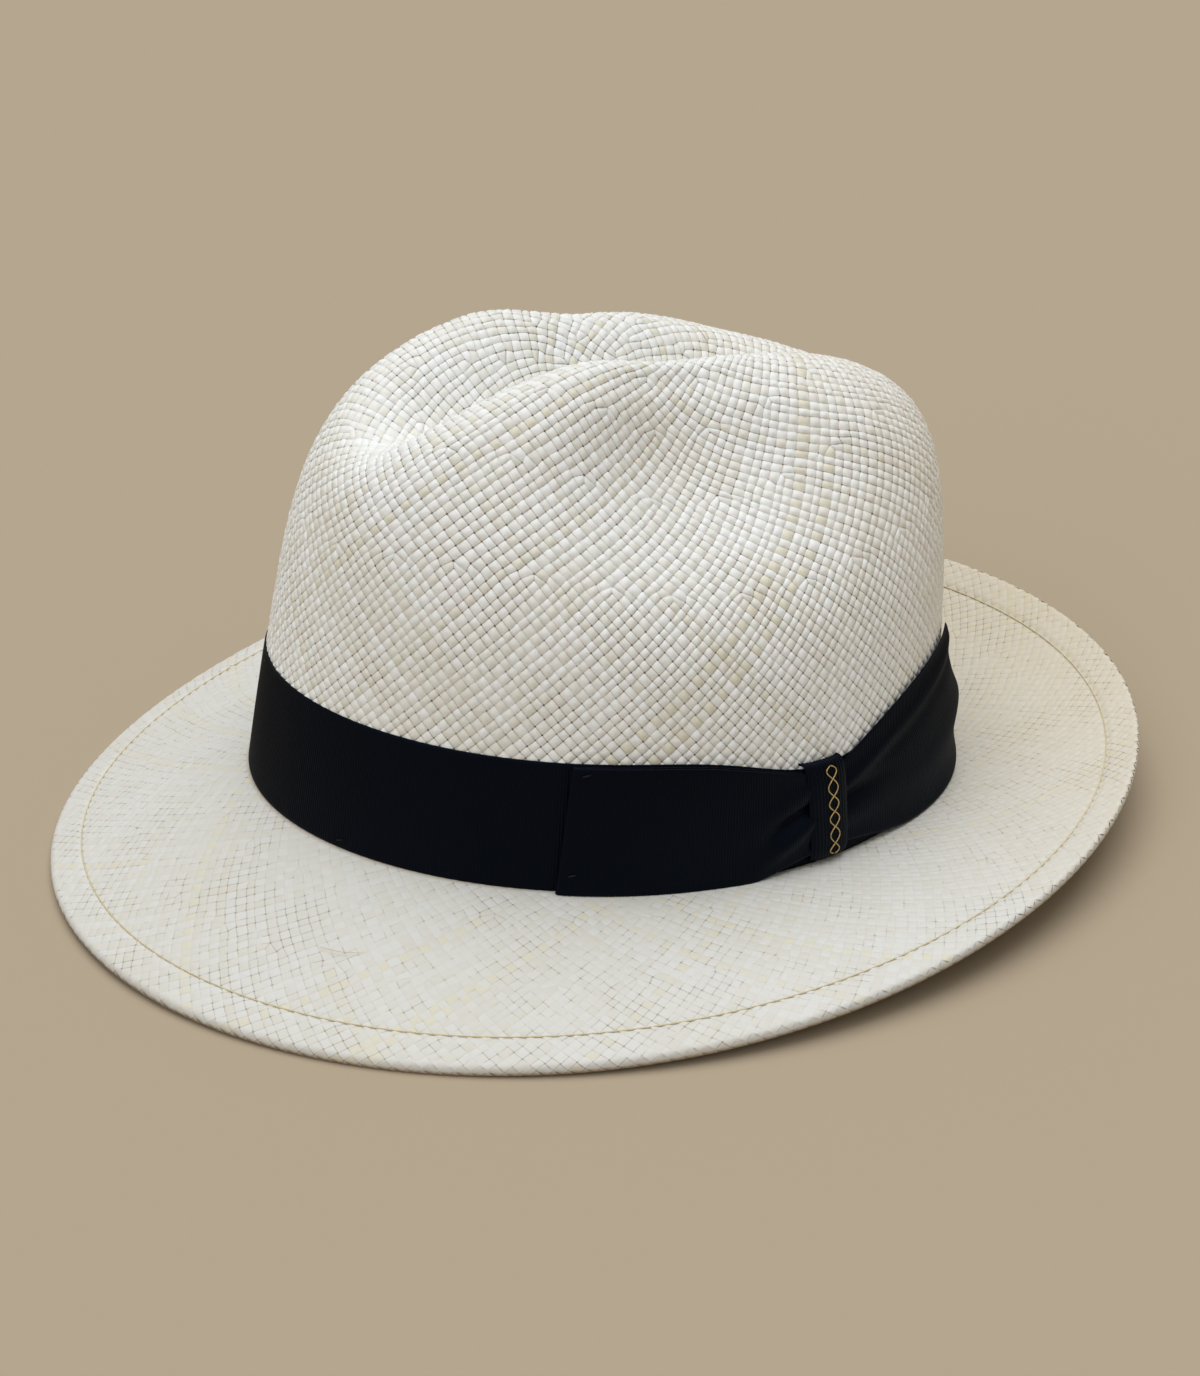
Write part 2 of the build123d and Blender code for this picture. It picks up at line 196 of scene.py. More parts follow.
def smooth(x):
    """Ease from 0 to 1 as x goes from 0 to 1."""
    x = np.clip(x, 0.0, 1.0)
    return x * x * (3 - 2 * x)


def bump(x, width):
    """A round hill, 1 high where x is 0."""
    return np.exp(-((x / width) ** 2))


def points(x, y, z):
    """Points from their coordinates, which may be arrays of any matching shape."""
    return np.stack(np.broadcast_arrays(x, y, z), -1).astype(float)


def unit(v):
    return v / np.maximum(np.linalg.norm(v, axis=-1, keepdims=True), 1e-9)


def outward(t):
    """The level outward direction of the head oval at angle t."""
    return unit(points(np.sin(t) / HALF_WIDTH, -np.cos(t) / HALF_LENGTH, 0 * t))


def break_height(t):
    """The height of the line where the crown meets the brim."""
    return BREAK_SLOPE * np.cos(t) + BREAK_DIP * np.cos(2 * t)


def edge_height(t):
    """The height of the brim's edge."""
    even = EDGE_MEAN - EDGE_FALL * np.cos(t) + EDGE_SADDLE * np.cos(2 * t) + EDGE_WAVE * np.cos(3 * t)
    return even - EDGE_LEFT_DROP * np.sin(t) + EDGE_TWIST * np.sin(2 * t)


def crown(t, lift):
    """The crown's outer surface: lift runs from 0 at the break line to 90 degrees at the tip."""
    ends = np.cos(t) ** 2
    fullness = SIDE_FULLNESS + (FRONT_FULLNESS - SIDE_FULLNESS) * ends
    level, rise = np.maximum(np.cos(lift), 0), np.maximum(np.sin(lift), 0)
    scale = (level**fullness + rise**fullness) ** (-1 / fullness)
    radius, height = level * scale, rise * scale
    end_taper = np.where(np.cos(t) > 0, FRONT_TAPER, BACK_TAPER)
    radius = radius * (1 - (SIDE_TAPER * (1 - ends) + end_taper * ends) * height)
    x = HALF_WIDTH * np.sin(t) * radius
    y = -HALF_LENGTH * np.cos(t) * radius
    z = CROWN_HEIGHT * height
    z = z - BACK_SLOPE * (np.maximum(y - BACK_SLOPE_START, 0) / BACK_SLOPE_RUN) ** 1.5 * height**2
    z = z - FRONT_DROOP * (np.maximum(FRONT_DROOP_START - y, 0) / FRONT_DROOP_RUN) ** 1.5 * height**2
    leaning = np.clip(x / BACK_LEAN_ACROSS, -1, 1) * smooth((y - BACK_LEAN_START) / BACK_LEAN_RUN)
    z = z + BACK_LEAN * leaning * height**2
    pinch = PINCH_DEPTH * bump(y - PINCH_Y, PINCH_LENGTH) * bump(z - PINCH_Z, PINCH_HEIGHT)
    x = x - np.sign(x) * pinch * smooth((abs(x) - 0.8 * RIDGE_OFFSET) / PINCH_EDGE)
    opens = smooth((y - CREASE_FRONT) / CREASE_FRONT_RUN)
    closes = smooth((CREASE_BACK - y) / CREASE_BACK_RUN)
    across = CREASE_WIDTH - CREASE_NARROWING * smooth((y - CREASE_NARROWING_START) / CREASE_NARROWING_RUN)
    deep = smooth((height - CREASE_DEPTH_START) / (1 - CREASE_DEPTH_START))
    z = z - CREASE_DEPTH * opens * closes * bump(x, across) * deep
    z = z + break_height(t) * (1 - smooth(height / BREAK_FADE))
    return points(x, y, z)


def crown_inside(t, lift):
    step = 0.002
    here = crown(t, lift)
    normal = unit(np.cross(crown(t + step, lift) - here, crown(t, lift + step) - here))
    return here - normal * STRAW


def brim(t, part, drop=0.0, beyond=0.0):
    """The brim: part runs from 0 at the break line to 1 at the edge, drop is the depth below its top face."""
    start = break_height(t)
    fall = edge_height(t) - start
    width = BRIM_WIDTH + BRIM_WIDER_ENDS * np.cos(2 * t) - BRIM_NARROWER_LEFT * np.sin(t)
    reach = np.sqrt(width**2 - fall**2) * part + beyond
    curl = CURL - CURL_LESS_IN_FRONT * np.cos(t)
    base = points(HALF_WIDTH * np.sin(t), -HALF_LENGTH * np.cos(t), start + fall * part**curl - drop)
    return base + outward(t) * np.asarray(reach)[..., None]


def wall_lift(t, height):
    """The lift at which the crown's outer wall is a given height above the break line."""
    low = np.zeros(np.broadcast(t, height).shape)
    high = low + math.radians(60)
    target = break_height(t) + height
    for _ in range(26):
        middle = (low + high) / 2
        below = crown(t, middle)[..., 2] < target
        low, high = np.where(below, middle, low), np.where(below, high, middle)
    return low


def wall(t, height, out=0.0):
    """A point on the crown's outer wall, moved out level by out."""
    t, height, out = np.broadcast_arrays(t, height, out)
    return crown(t, wall_lift(t, height)) + outward(t) * out[..., None]


def band_top(t):
    """The height of the band's upper edge, which the keeper draws down where it gathers the band."""
    return BAND_HEIGHT - BAND_DIP * bump(np.degrees(t) - KEEPER_ANGLE, BAND_DIP_SPREAD)


def placing():
    """How the hat is set down in the row's frame: from the head opening's place and direction."""
    opening = next(m for m in frame["record"]["mounts"] if m["name"] == "head_opening")
    down = Vector(opening["axis"]).normalized()
    turn = Vector((0, 0, -1)).rotation_difference(down)
    return Matrix.Translation(opening["pos_m"]) @ turn.to_matrix().to_4x4()


PLACE = np.array(placing())


def set_down(mm):
    """Points in the hat's frame, in millimetres, to points in the row's frame, in metres."""
    flat = np.asarray(mm, float).reshape(-1, 3) * MM
    return flat @ PLACE[:3, :3].T + PLACE[:3, 3]


# ---------------------------------------------------------------- meshes


def mesh_object(name, verts, faces, material, flat=False):
    """A mesh object from points in the hat's frame and its faces."""
    mesh = bpy.data.meshes.new(name)
    mesh.from_pydata(set_down(verts).tolist(), [], np.asarray(faces).tolist())
    mesh.polygons.foreach_set("use_smooth", [not flat] * len(mesh.polygons))
    mesh.materials.append(material)
    piece = bpy.data.objects.new(name, mesh)
    bpy.context.scene.collection.objects.link(piece)
    return piece


def attribute(piece, name, values, domain="POINT"):
    """Store a number, or a vector, for each point or each face corner."""
    values = np.asarray(values, np.float32)
    kind, field = ("FLOAT", "value") if values.ndim == 1 else ("FLOAT_VECTOR", "vector")
    piece.data.attributes.new(name, kind, domain).data.foreach_set(field, values.ravel())


def weld(piece, distance=1e-6):
    """Join points that lie on each other."""
    work = bmesh.new()
    work.from_mesh(piece.data)
    bmesh.ops.remove_doubles(work, verts=work.verts, dist=distance)
    bmesh.ops.dissolve_degenerate(work, edges=work.edges, dist=distance)
    work.to_mesh(piece.data)
    work.free()


def grid_faces(rows, columns, around=False):
    """Faces over a grid of points, whose columns close on themselves if around."""
    r = np.arange(rows - 1)[:, None]
    c = np.arange(columns if around else columns - 1)[None, :]
    right = (c + 1) % columns
    quad = [r * columns + c, r * columns + right, (r + 1) * columns + right, (r + 1) * columns + c]
    return np.stack(np.broadcast_arrays(*quad), -1).reshape(-1, 4)


def slab_mesh(outer, inner, around=False):
    """Points and faces of a thin closed solid between two matching grids of points, rows by columns."""
    rows, columns = outer.shape[:2]
    count = rows * columns
    verts = np.concatenate([outer.reshape(-1, 3), inner.reshape(-1, 3)])
    front = grid_faces(rows, columns, around)
    index = np.arange(count).reshape(rows, columns)
    rims = [index[0, ::-1], index[-1]]
    rims = [np.append(rim, rim[0]) for rim in rims] if around else rims + [index[:, 0], index[::-1, -1]]
    sides = [np.stack([rim[:-1], rim[:-1] + count, rim[1:] + count, rim[1:]], -1) for rim in rims]
    faces = np.concatenate([front, front[:, ::-1] + count] + [side[:, ::-1] for side in sides])
    return verts, faces


def slab(name, outer, inner, material, around=False):
    return mesh_object(name, *slab_mesh(outer, inner, around), material)


def tube(path, radius, sides=6, taper=0):
    """Points and faces of a tube along a path, with rounded ends over its first and last taper points."""
    path = np.asarray(path, float)
    forward = unit(np.gradient(path, axis=0))
    side = unit(np.cross(forward, np.broadcast_to([0.0, 0.0, 1.0], path.shape)))
    top = np.cross(side, forward)
    ends = np.minimum(np.arange(len(path)), np.arange(len(path))[::-1])
    size = radius * np.sin(np.clip((ends + 0.5) / (taper + 0.5), 0, 1) * math.pi / 2)
    turn = np.linspace(0, TURN, sides, endpoint=False)[None, :, None]
    ring = side[:, None] * np.cos(turn) + top[:, None] * np.sin(turn)
    verts = path[:, None] + ring * size[:, None, None]
    return verts.reshape(-1, 3), grid_faces(len(path), sides, around=True)


def joined(parts):
    """Several meshes' points and faces as one."""
    verts, faces, base = [], [], 0
    for points_here, faces_here in parts:
        verts.append(points_here)
        faces.append(faces_here + base)
        base += len(points_here)
    return np.concatenate(verts), np.concatenate(faces)


# ---------------------------------------------------------------- woven straw


def along(stages):
    """One surface out of several, each with its share of the way from 0 to 1."""
    ends = np.cumsum([0.0] + [share for share, _ in stages])
    ends[-1] = 1.0

    def point(t, s):
        t, s = np.broadcast_arrays(t, s)
        found = np.zeros(s.shape + (3,))
        for start, end, (_, surface) in zip(ends, ends[1:], stages):
            inside = (s >= start) & (s <= end)
            found[inside] = surface(t[inside], (s[inside] - start) / (end - start))
        return found

    return point


class Sheet:
    """A surface around the head as rows of points: even steps down each meridian and around each row."""

    STEP = 0.55
    COLUMNS = 1000
    DENSE = 1400

    def __init__(self, point, hub=False):
        """point(t, s) is the surface, with s from 0 at its first row to 1 at its last. A hub is one point."""
        t = np.linspace(0, TURN, self.COLUMNS, endpoint=False)
        dense = point(t[:, None], np.linspace(0, 1, self.DENSE)[None, :])
        step = np.linalg.norm(np.diff(dense, axis=1), axis=2)
        length = np.concatenate([np.zeros((len(t), 1)), np.cumsum(step, axis=1)], axis=1)
        self.meridian = float(length[:, -1].mean())
        self.rows = int(self.meridian / self.STEP)
        even = np.empty((self.rows, self.COLUMNS, 3))
        for column in range(self.COLUMNS):
            want = np.linspace(0, length[column, -1], self.rows)
            for axis in range(3):
                even[:, column, axis] = np.interp(want, length[column], dense[column, :, axis])
        self.hub = hub
        self.grid, self.perimeter = self.spread(even)
        self.normal = self.normals()

    def spread(self, even):
        """Space the points of each row evenly around it."""
        grid = np.empty_like(even)
        perimeter = np.zeros(self.rows)
        for row in range(self.rows):
            ring = np.vstack([even[row], even[row, :1]])
            length = np.concatenate([[0], np.cumsum(np.linalg.norm(np.diff(ring, axis=0), axis=1))])
            perimeter[row] = length[-1]
            want = np.linspace(0, length[-1], self.COLUMNS, endpoint=False)
            for axis in range(3):
                grid[row, :, axis] = np.interp(want, length, ring[:, axis]) if length[-1] else ring[0, axis]
        return grid, perimeter

    def normals(self):
        around = np.roll(self.grid, -1, axis=1) - np.roll(self.grid, 1, axis=1)
        normal = unit(np.cross(np.gradient(self.grid, axis=0), around))
        if self.hub:
            normal[:2] = unit(normal[2].mean(axis=0))
        return normal

    def sample(self, table, row, way):
        """Values of a table at fractional rows and ways around, 0 to 1."""
        row = np.clip(row, 0, self.rows - 1.0001)
        column = (way % 1.0) * self.COLUMNS
        r0, c0 = row.astype(int), column.astype(int) % self.COLUMNS
        fr, fc = (row - r0)[..., None], (column - np.floor(column))[..., None]
        c1 = (c0 + 1) % self.COLUMNS
        near = table[r0, c0] * (1 - fc) + table[r0, c1] * fc
        far = table[r0 + 1, c0] * (1 - fc) + table[r0 + 1, c1] * fc
        return near * (1 - fr) + far * fr


class Weave:
    """A plain over-and-under weave, with straws that run slantwise across the rings of a sheet.

    Each visible stretch of straw is a cell with a corner on the ring before, two on its own ring and one on
    the ring after. Cells on even rings show the straws of one slant, and cells on odd rings the other's.
    """

    ALONG = np.array([-1, -0.7, 0, 0.7, 1])
    ACROSS = np.array([-1, -0.8, 0.8, 1])
    COARSE = np.array([-1, -0.68, 0.68, 1])

    def __init__(self, sheet, seed):
        self.sheet = sheet
        self.rings = int(round(sheet.meridian / (CELL / 2)))
        self.first = 1 if sheet.hub else 0
        self.random = np.random.default_rng(seed)
        self.row_step = (sheet.rows - 1) / self.rings
        self.counts = self.ring_counts()
        self.lines = [self.follow(side) for side in (0, 1)]
        self.tones = [self.random.random(total) for _, total in self.lines]
        self.corners = self.lattice()

    def phase(self, k):
        return 0.5 * (k % 2)

    def ring_counts(self):
        """How many cells each ring has. It changes only where a ring needs about an eighth more or fewer."""
        counts, now = [], 4
        for k in range(self.rings + 1):
            row = min(int(round(k * self.row_step)), self.sheet.rows - 1)
            ideal = self.sheet.perimeter[row] / CELL
            if ideal > 1.12 * now or ideal < 0.88 * now:
                grown = ideal > now and k > 0
                now = max(4, int(round(ideal / 0.93 if grown else ideal)))
            counts.append(now)
        return [1] + counts[1:] if self.sheet.hub else counts

    def facing(self, k, i, other):
        """The vertex of a ring beside ring k that faces the middle of edge i of ring k."""
        if self.counts[other] == 1:
            return np.zeros_like(i)
        way = (i + 0.5 + self.phase(k)) / self.counts[k] * self.counts[other] - self.phase(other) - 0.5
        return (np.ceil(way - 1e-9) if other > k else np.floor(way + 1e-9) + 1).astype(int)

    def follow(self, side):
        """The straw edge through each vertex, for one slant, followed from the last ring to the first."""
        ids = {self.rings: np.arange(self.counts[-1])}
        total = self.counts[-1]
        for k in range(self.rings, self.first, -1):
            i = np.arange(self.counts[k])
            above = self.facing(k, i, k - 1) % self.counts[k - 1]
            here = np.full(self.counts[k - 1], -1)
            here[above] = ids[k][(i + side) % self.counts[k]]
            new = here < 0
            here[new] = total + np.arange(new.sum())
            total += int(new.sum())
            ids[k - 1] = here
        return ids, total

    def lattice(self):
        """Row and way around of each vertex. Straws differ in width, so the lines between them wander."""
        shifts = [self.random.uniform(-0.14, 0.14, total) for _, total in self.lines]
        table = {}
        for k in range(self.first, self.rings + 1):
            i = np.arange(self.counts[k])
            right, left = (shifts[side][self.lines[side][0][k]] for side in (0, 1))
            loose = self.random.uniform(-0.04, 0.04, (2, len(i)))
            free = 0.0 if k in (self.first, self.rings) else 1.0
            row = k - (right + left + loose[0]) * free
            way = (i + self.phase(k) + 0.5 * (left - right + loose[1])) / self.counts[k]
            table[k] = (row * self.row_step, way)
        return table

    def vertex(self, k, i, near):
        """Row and way of vertex i of ring k, with the way within half a turn of near."""
        if self.counts[k] == 1:
            return np.stack([0 * near, near], -1)
        rows, ways = (values[i % self.counts[k]] for values in self.corners[k])
        return np.stack([rows, ways + np.round(near - ways)], -1)

    def ring_cells(self, k):
        """The four corners of each cell of ring k, and the number of the straw that it shows."""
        i = np.arange(self.counts[k])
        near = (i + 0.5 + self.phase(k)) / self.counts[k]
        left, right = self.vertex(k, i, near), self.vertex(k, i + 1, near)
        middle = (left + right) / 2
        top = self.vertex(k - 1, self.facing(k, i, k - 1), near) if k > 0 else middle
        bottom = self.vertex(k + 1, self.facing(k, i, k + 1), near) if k < self.rings else middle
        slant = k % 2
        sides = [left, right] if slant == 0 else [right, left]
        straw = self.lines[slant][0][k][(i + slant) % self.counts[k]]
        return np.stack([bottom, *sides, top]), np.full(len(i), slant), straw

    def build(self, name, material, relief, share=(0, 1), coarse=False, inside=False):
        """Mesh the cells over a share of the sheet. relief(points) is how proud the straws stand there."""
        start, end = (int(round(part * (self.rings + 1))) for part in share)
        found = [self.ring_cells(k) for k in range(max(start, self.first), end)]
        corners = np.concatenate([cells[0] for cells in found], axis=1)
        slant, straw = (np.concatenate([cells[n] for cells in found]) for n in (1, 2))
        lengthwise, sideways = (self.COARSE, self.COARSE) if coarse else (self.ALONG, self.ACROSS)
        u, v = np.meshgrid(lengthwise, sideways, indexing="ij")
        a, b = (u + 1) / 2, (v + 1) / 2
        weights = np.stack([(1 - a) * (1 - b), (1 - a) * b, a * (1 - b), a * b])
        where = np.einsum("kuv,kcd->cuvd", weights, corners)
        flat = self.sheet.sample(self.sheet.grid, where[..., 0], where[..., 1])
        normal = self.sheet.sample(self.sheet.normal, where[..., 0], where[..., 1])
        arch = (1 - abs(u) ** 2.2) * (1 - abs(v) ** 9)
        proud = arch * self.random.uniform(0.8, 1.15, len(slant))[:, None, None]
        verts = flat + normal * (proud * relief(flat) * (-1 if inside else 1))[..., None]
        long, wide = u.shape
        index = np.arange(long * wide).reshape(long, wide)
        quad = np.stack([index[:-1, :-1], index[1:, :-1], index[1:, 1:], index[:-1, 1:]], -1).reshape(-1, 4)
        quads = np.where(((slant == 1) != inside)[:, None, None], quad[None, :, ::-1], quad[None])
        faces = quads + np.arange(len(slant))[:, None, None] * long * wide
        piece = mesh_object(name, verts.reshape(-1, 3), faces.reshape(-1, 4), material)
        # proud, hole and end mark where the straw sinks, the cells' corners and the straws' ends; the straw's
        # material paints shade there.
        attribute(piece, "proud", np.tile(arch.ravel(), len(slant)))
        attribute(piece, "hole", np.tile((abs(u) * abs(v) > 0.99).ravel().astype(float), len(slant)))
        attribute(piece, "end", np.tile((abs(u) > 0.99).ravel().astype(float), len(slant)))
        # way runs from the sheet's first row to its last; the brim's straw paints shade near both ends.
        way = where[..., 0] / (self.sheet.rows - 1)
        attribute(piece, "way", np.full(way.size, 0.5) if inside else way.ravel())
        tone = np.where(slant == 0, *(tones[straw % len(tones)] for tones in self.tones))
        cell = np.broadcast_to(np.arange(len(slant))[:, None, None], quads.shape)
        along_fibre = a.ravel()[quads] * 3 + cell * 3.7 % 50
        across_fibre = b.ravel()[quads] * 3 + straw[cell] * 5.3 % 70
        fibre = np.stack([along_fibre, across_fibre], -1)
        mark = np.concatenate([fibre, tone[cell][..., None]], -1)
        attribute(piece, "straw", mark.reshape(-1, 3), "CORNER")
        weld(piece)
        return piece


def crown_sheet(surface):
    return along([(1.0, lambda t, f: surface(t, (1 - f) * math.pi / 2))])


# How far the hem's fold lifts the brim's top face, and how deep its seam pulls in, in millimetres
HEM_LIFT = 0.35
HEM_GROOVE = 0.3


def hem_rise(part):
    """How far the folded hem lifts the brim's top face, with a groove where it is sewn."""
    inward = (1 - part) * BRIM_WIDTH - HEM_WIDTH
    return HEM_LIFT * smooth(-inward / 1.5) - HEM_GROOVE * bump(inward, 0.8)


def brim_top(t, f):
    return brim(t, f, drop=-hem_rise(f))


def edge_roll(t, f):
    """The rounded outer edge, from the top face down to the underside."""
    turn = f * math.pi
    drop = HEM_THICKNESS / 2 * (1 - np.cos(turn)) - HEM_LIFT * (1 - f)
    return brim(t, 1.0, drop=drop, beyond=EDGE_BULGE * np.sin(turn))


def brim_under(t, f):
    """The underside, with the step where the hem's turned-in edge lies on it."""
    inward = (1 - f) * BRIM_WIDTH - HEM_WIDTH
    return brim(t, f, drop=STRAW + (HEM_THICKNESS - STRAW) * smooth(0.5 - inward / 0.8))


def crown_relief(where):
    """Full relief above the hatband, fading under it."""
    return CROWN_RELIEF * (0.25 + 0.75 * smooth((where[..., 2] - BAND_HEIGHT + BAND_DIP + 5) / 4))


def brim_relief(where):
    return BRIM_RELIEF + 0 * where[..., 2]


def straw_pieces():
    """The woven straw: the crown and brim outside, and the same within."""
    outside = Weave(Sheet(crown_sheet(crown), hub=True), SEED)
    top = outside.build("crown_top", crown_straw(), crown_relief, share=(0, 0.62))
    side = outside.build("crown_side", crown_straw(), crown_relief, share=(0.62, 1))
    within = Weave(Sheet(crown_sheet(crown_inside), hub=True), SEED + 1)
    lining = within.build("crown_inside", crown_straw(), crown_relief, coarse=True, inside=True)
    upper = Weave(Sheet(along([(0.93, brim_top), (0.07, edge_roll)])), SEED + 2)
    brim_face = upper.build("brim_top", brim_straw(), brim_relief)
    lower = Weave(Sheet(along([(1.0, brim_under)])), SEED + 3)
    under = lower.build("brim_underside", brim_straw(), brim_relief, coarse=True, inside=True)
    for piece in (top, side, lining):
        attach(piece, "hat")
        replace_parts(piece, "straw_body")
    for piece in (brim_face, under):
        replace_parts(piece, "straw_body", "brim_front")
        bend_with_brim(piece)


def bend_with_brim(piece):
    """Bake the piece's place into its mesh."""
    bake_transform(piece)


# ---------------------------------------------------------------- materials


class Looks:
    """A material being made: its node tree, and short ways to add and join nodes."""

    def __init__(self, name, **shader):
        self.material = bpy.data.materials.new(name)
        self.material.use_nodes = True
        self.tree = self.material.node_tree
        self.shader = self.tree.nodes["Principled BSDF"]
        for socket, value in shader.items():
            self.put(self.shader.inputs[socket.replace("_", " ").title().replace("Ior", "IOR")], value)

    def put(self, socket, value):
        if isinstance(value, bpy.types.NodeSocket):
            self.tree.links.new(value, socket)
        elif socket.type == "RGBA":
            socket.default_value = (*value[:3], 1)
        else:
            socket.default_value = value

    def add(self, kind, inputs, output=0, **settings):
        """A node, with inputs given by name or number, and one of its outputs."""
        node = self.tree.nodes.new("ShaderNode" + kind)
        for setting, value in settings.items():
            setattr(node, setting, value)
        for socket, value in inputs.items():
            self.put(node.inputs[socket], value)
        return node.outputs[output]

    def read(self, name, output="Vector"):
        return self.add("Attribute", {}, output, attribute_name=name)

    def place(self):
        """The point on the object, in metres."""
        return self.add("TexCoord", {}, "Object")

    def scaled(self, vector, *size):
        return self.add("VectorMath", {0: vector, 1: size}, operation="MULTIPLY")

    def split(self, vector, axis):
        return self.add("SeparateXYZ", {0: vector}, axis)

    def noise(self, vector, scale=1.0, detail=2.0):
        return self.add("TexNoise", {"Vector": vector, "Scale": scale, "Detail": detail})

    def reckon(self, operation, a, b=0.0):
        return self.add("Math", {0: a, 1: b}, operation=operation)

    def span(self, value, low, high, to_low=0.0, to_high=1.0):
        """A value from low to high taken to a new range, and held there."""
        return self.add("MapRange", {0: value, 1: low, 2: high, 3: to_low, 4: to_high})

    def mix(self, share, a, b, blend="MIX"):
        return self.add("Mix", {0: share, 6: a, 7: b}, 2, data_type="RGBA", blend_type=blend)

    def bumped(self, height, distance, strength=1.0, under=None):
        inputs = {"Height": height, "Distance": distance, "Strength": strength}
        if under is not None:
            inputs["Normal"] = under
        return self.add("Bump", inputs)

    def finish(self, colour, normal=None, roughness=None):
        self.put(self.shader.inputs["Base Color"], colour)
        if normal is not None:
            self.put(self.shader.inputs["Normal"], normal)
        if roughness is not None:
            self.put(self.shader.inputs["Roughness"], roughness)
        return self.material


def once(make):
    """Make a material the first time it is asked for, and give the same one after that."""
    made = {}

    def give():
        if make not in made:
            made[make] = make()
        return made[make]

    return give


def srgb(red, green, blue):
    """A colour as a screen shows it, 0 to 255, as the light that Blender works with."""
    return tuple(((c / 255 + 0.055) / 1.055) ** 2.4 if c > 10 else c / 3295 for c in (red, green, blue))


def straw_looks(name, pale, dull, lines, holes, stains, broken):
    """Split palm straw: pale fibres with fine grain, straws of differing tone, and painted shade between
    them.

    The straws' tones run from pale to dull. lines and holes are how dark the painted shade is along the gaps
    and in the holes at the straws' corners, stains how strong the odd yellow straw is, and broken how much of
    the gaps is closed. Where broken is set, painted shade also darkens the straw at both ends of the sheet:
    at the brim's break line and where its edge turns under.
    """
    looks = Looks(name, sheen_weight=0.1, sheen_roughness=0.5, subsurface_weight=0.05,
                  specular_ior_level=0.35)
    looks.put(looks.shader.inputs["Subsurface Scale"], 0.002)
    mark = looks.read("straw")
    proud, hole, end = (looks.read(each, "Fac") for each in ("proud", "hole", "end"))
    way = looks.read("way", "Fac")
    tone = looks.split(mark, "Z")
    grain = looks.noise(looks.scaled(mark, 0.5, 5.0, 40.0), 1.0, 3.0)
    patches = looks.noise(looks.place(), 30.0, 3.0)
    fine = looks.noise(looks.place(), 420.0, 2.0)
    loose = looks.reckon("ADD", looks.noise(looks.place(), 330.0, 1.0), looks.noise(looks.place(), 45.0, 2.0))
    shade = looks.reckon("ADD", tone, looks.reckon("MULTIPLY", looks.reckon("SUBTRACT", patches, 0.5), 1.3))
    colour = looks.mix(looks.span(shade, 0.1, 1.1), pale, dull)
    colour = looks.mix(looks.span(tone, 0.92, 0.98, 0.0, stains), colour, srgb(226, 220, 188))
    colour = looks.mix(looks.span(grain, 0.5, 0.75, 0.0, 0.3), colour, srgb(216, 212, 198))
    colour = looks.mix(looks.span(fine, 0.62, 0.8, 0.0, 0.2), colour, srgb(208, 200, 180))
    # Painted warm shade: the straw turns warmer and darker from 30 to 150 mm towards +Y, the hat's back,
    # which the crown shades.
    painted_warm_shade = looks.span(looks.split(looks.place(), "Y"), 0.03, 0.15, 0.0, 0.55)
    colour = looks.mix(painted_warm_shade, colour, srgb(226, 210, 178))
    # Painted shade in the weave: the gaps darken where the straw sinks, in patches, most at each straw's
    # ends, where it dives under the crossing straw, and darkest in the holes at the corners.
    openness = looks.span(loose, 0.8 + 0.2 * broken, 1.15 + 0.1 * broken, 0.25 * (1 - broken), 1.0)
    end_shade = looks.span(end, 0.3, 1.0, 0.35, 1.0)
    line = looks.reckon("MULTIPLY", looks.span(proud, 0.0, 0.35, lines, 0.0), openness)
    line = looks.reckon("MULTIPLY", line, end_shade)
    gap = looks.reckon("MULTIPLY", looks.span(hole, 0.05, 0.6, 0.0, holes), openness)
    colour = looks.mix(line, colour, srgb(134, 112, 76))
    colour = looks.mix(gap, colour, srgb(52, 40, 24))
    # Painted shade on the brim's straw: darker brown at the break line, under the band, and where the edge
    # turns under towards the floor.
    edges = looks.reckon("ADD", looks.span(way, 0.0, 0.03, 0.7, 0.0), looks.span(way, 0.972, 0.99, 0.0, 0.75))
    colour = looks.mix(edges, colour, srgb(150, 118, 72)) if broken else colour
    height = looks.reckon("ADD", grain, looks.reckon("MULTIPLY", fine, 0.4))
    rough = looks.span(grain, 0.3, 0.7, 0.42, 0.62)
    return looks.finish(colour, looks.bumped(height, 0.00012, 0.6), rough)


@once
def crown_straw():
    pale, dull = srgb(249, 251, 251), srgb(237, 236, 228)
    return straw_looks("crown_straw", pale, dull, lines=0.85, holes=1.0, stains=0.4, broken=0.0)


# The brim's straw is the crown's straw with its base colours painted darker: painted shade that evens out the
# stronger overhead light on the upturned brim.
@once
def brim_straw():
    pale, dull = srgb(221, 221, 217), srgb(216, 214, 205)
    return straw_looks("brim_straw", pale, dull, lines=0.7, holes=0.45, stains=0.4, broken=0.7)


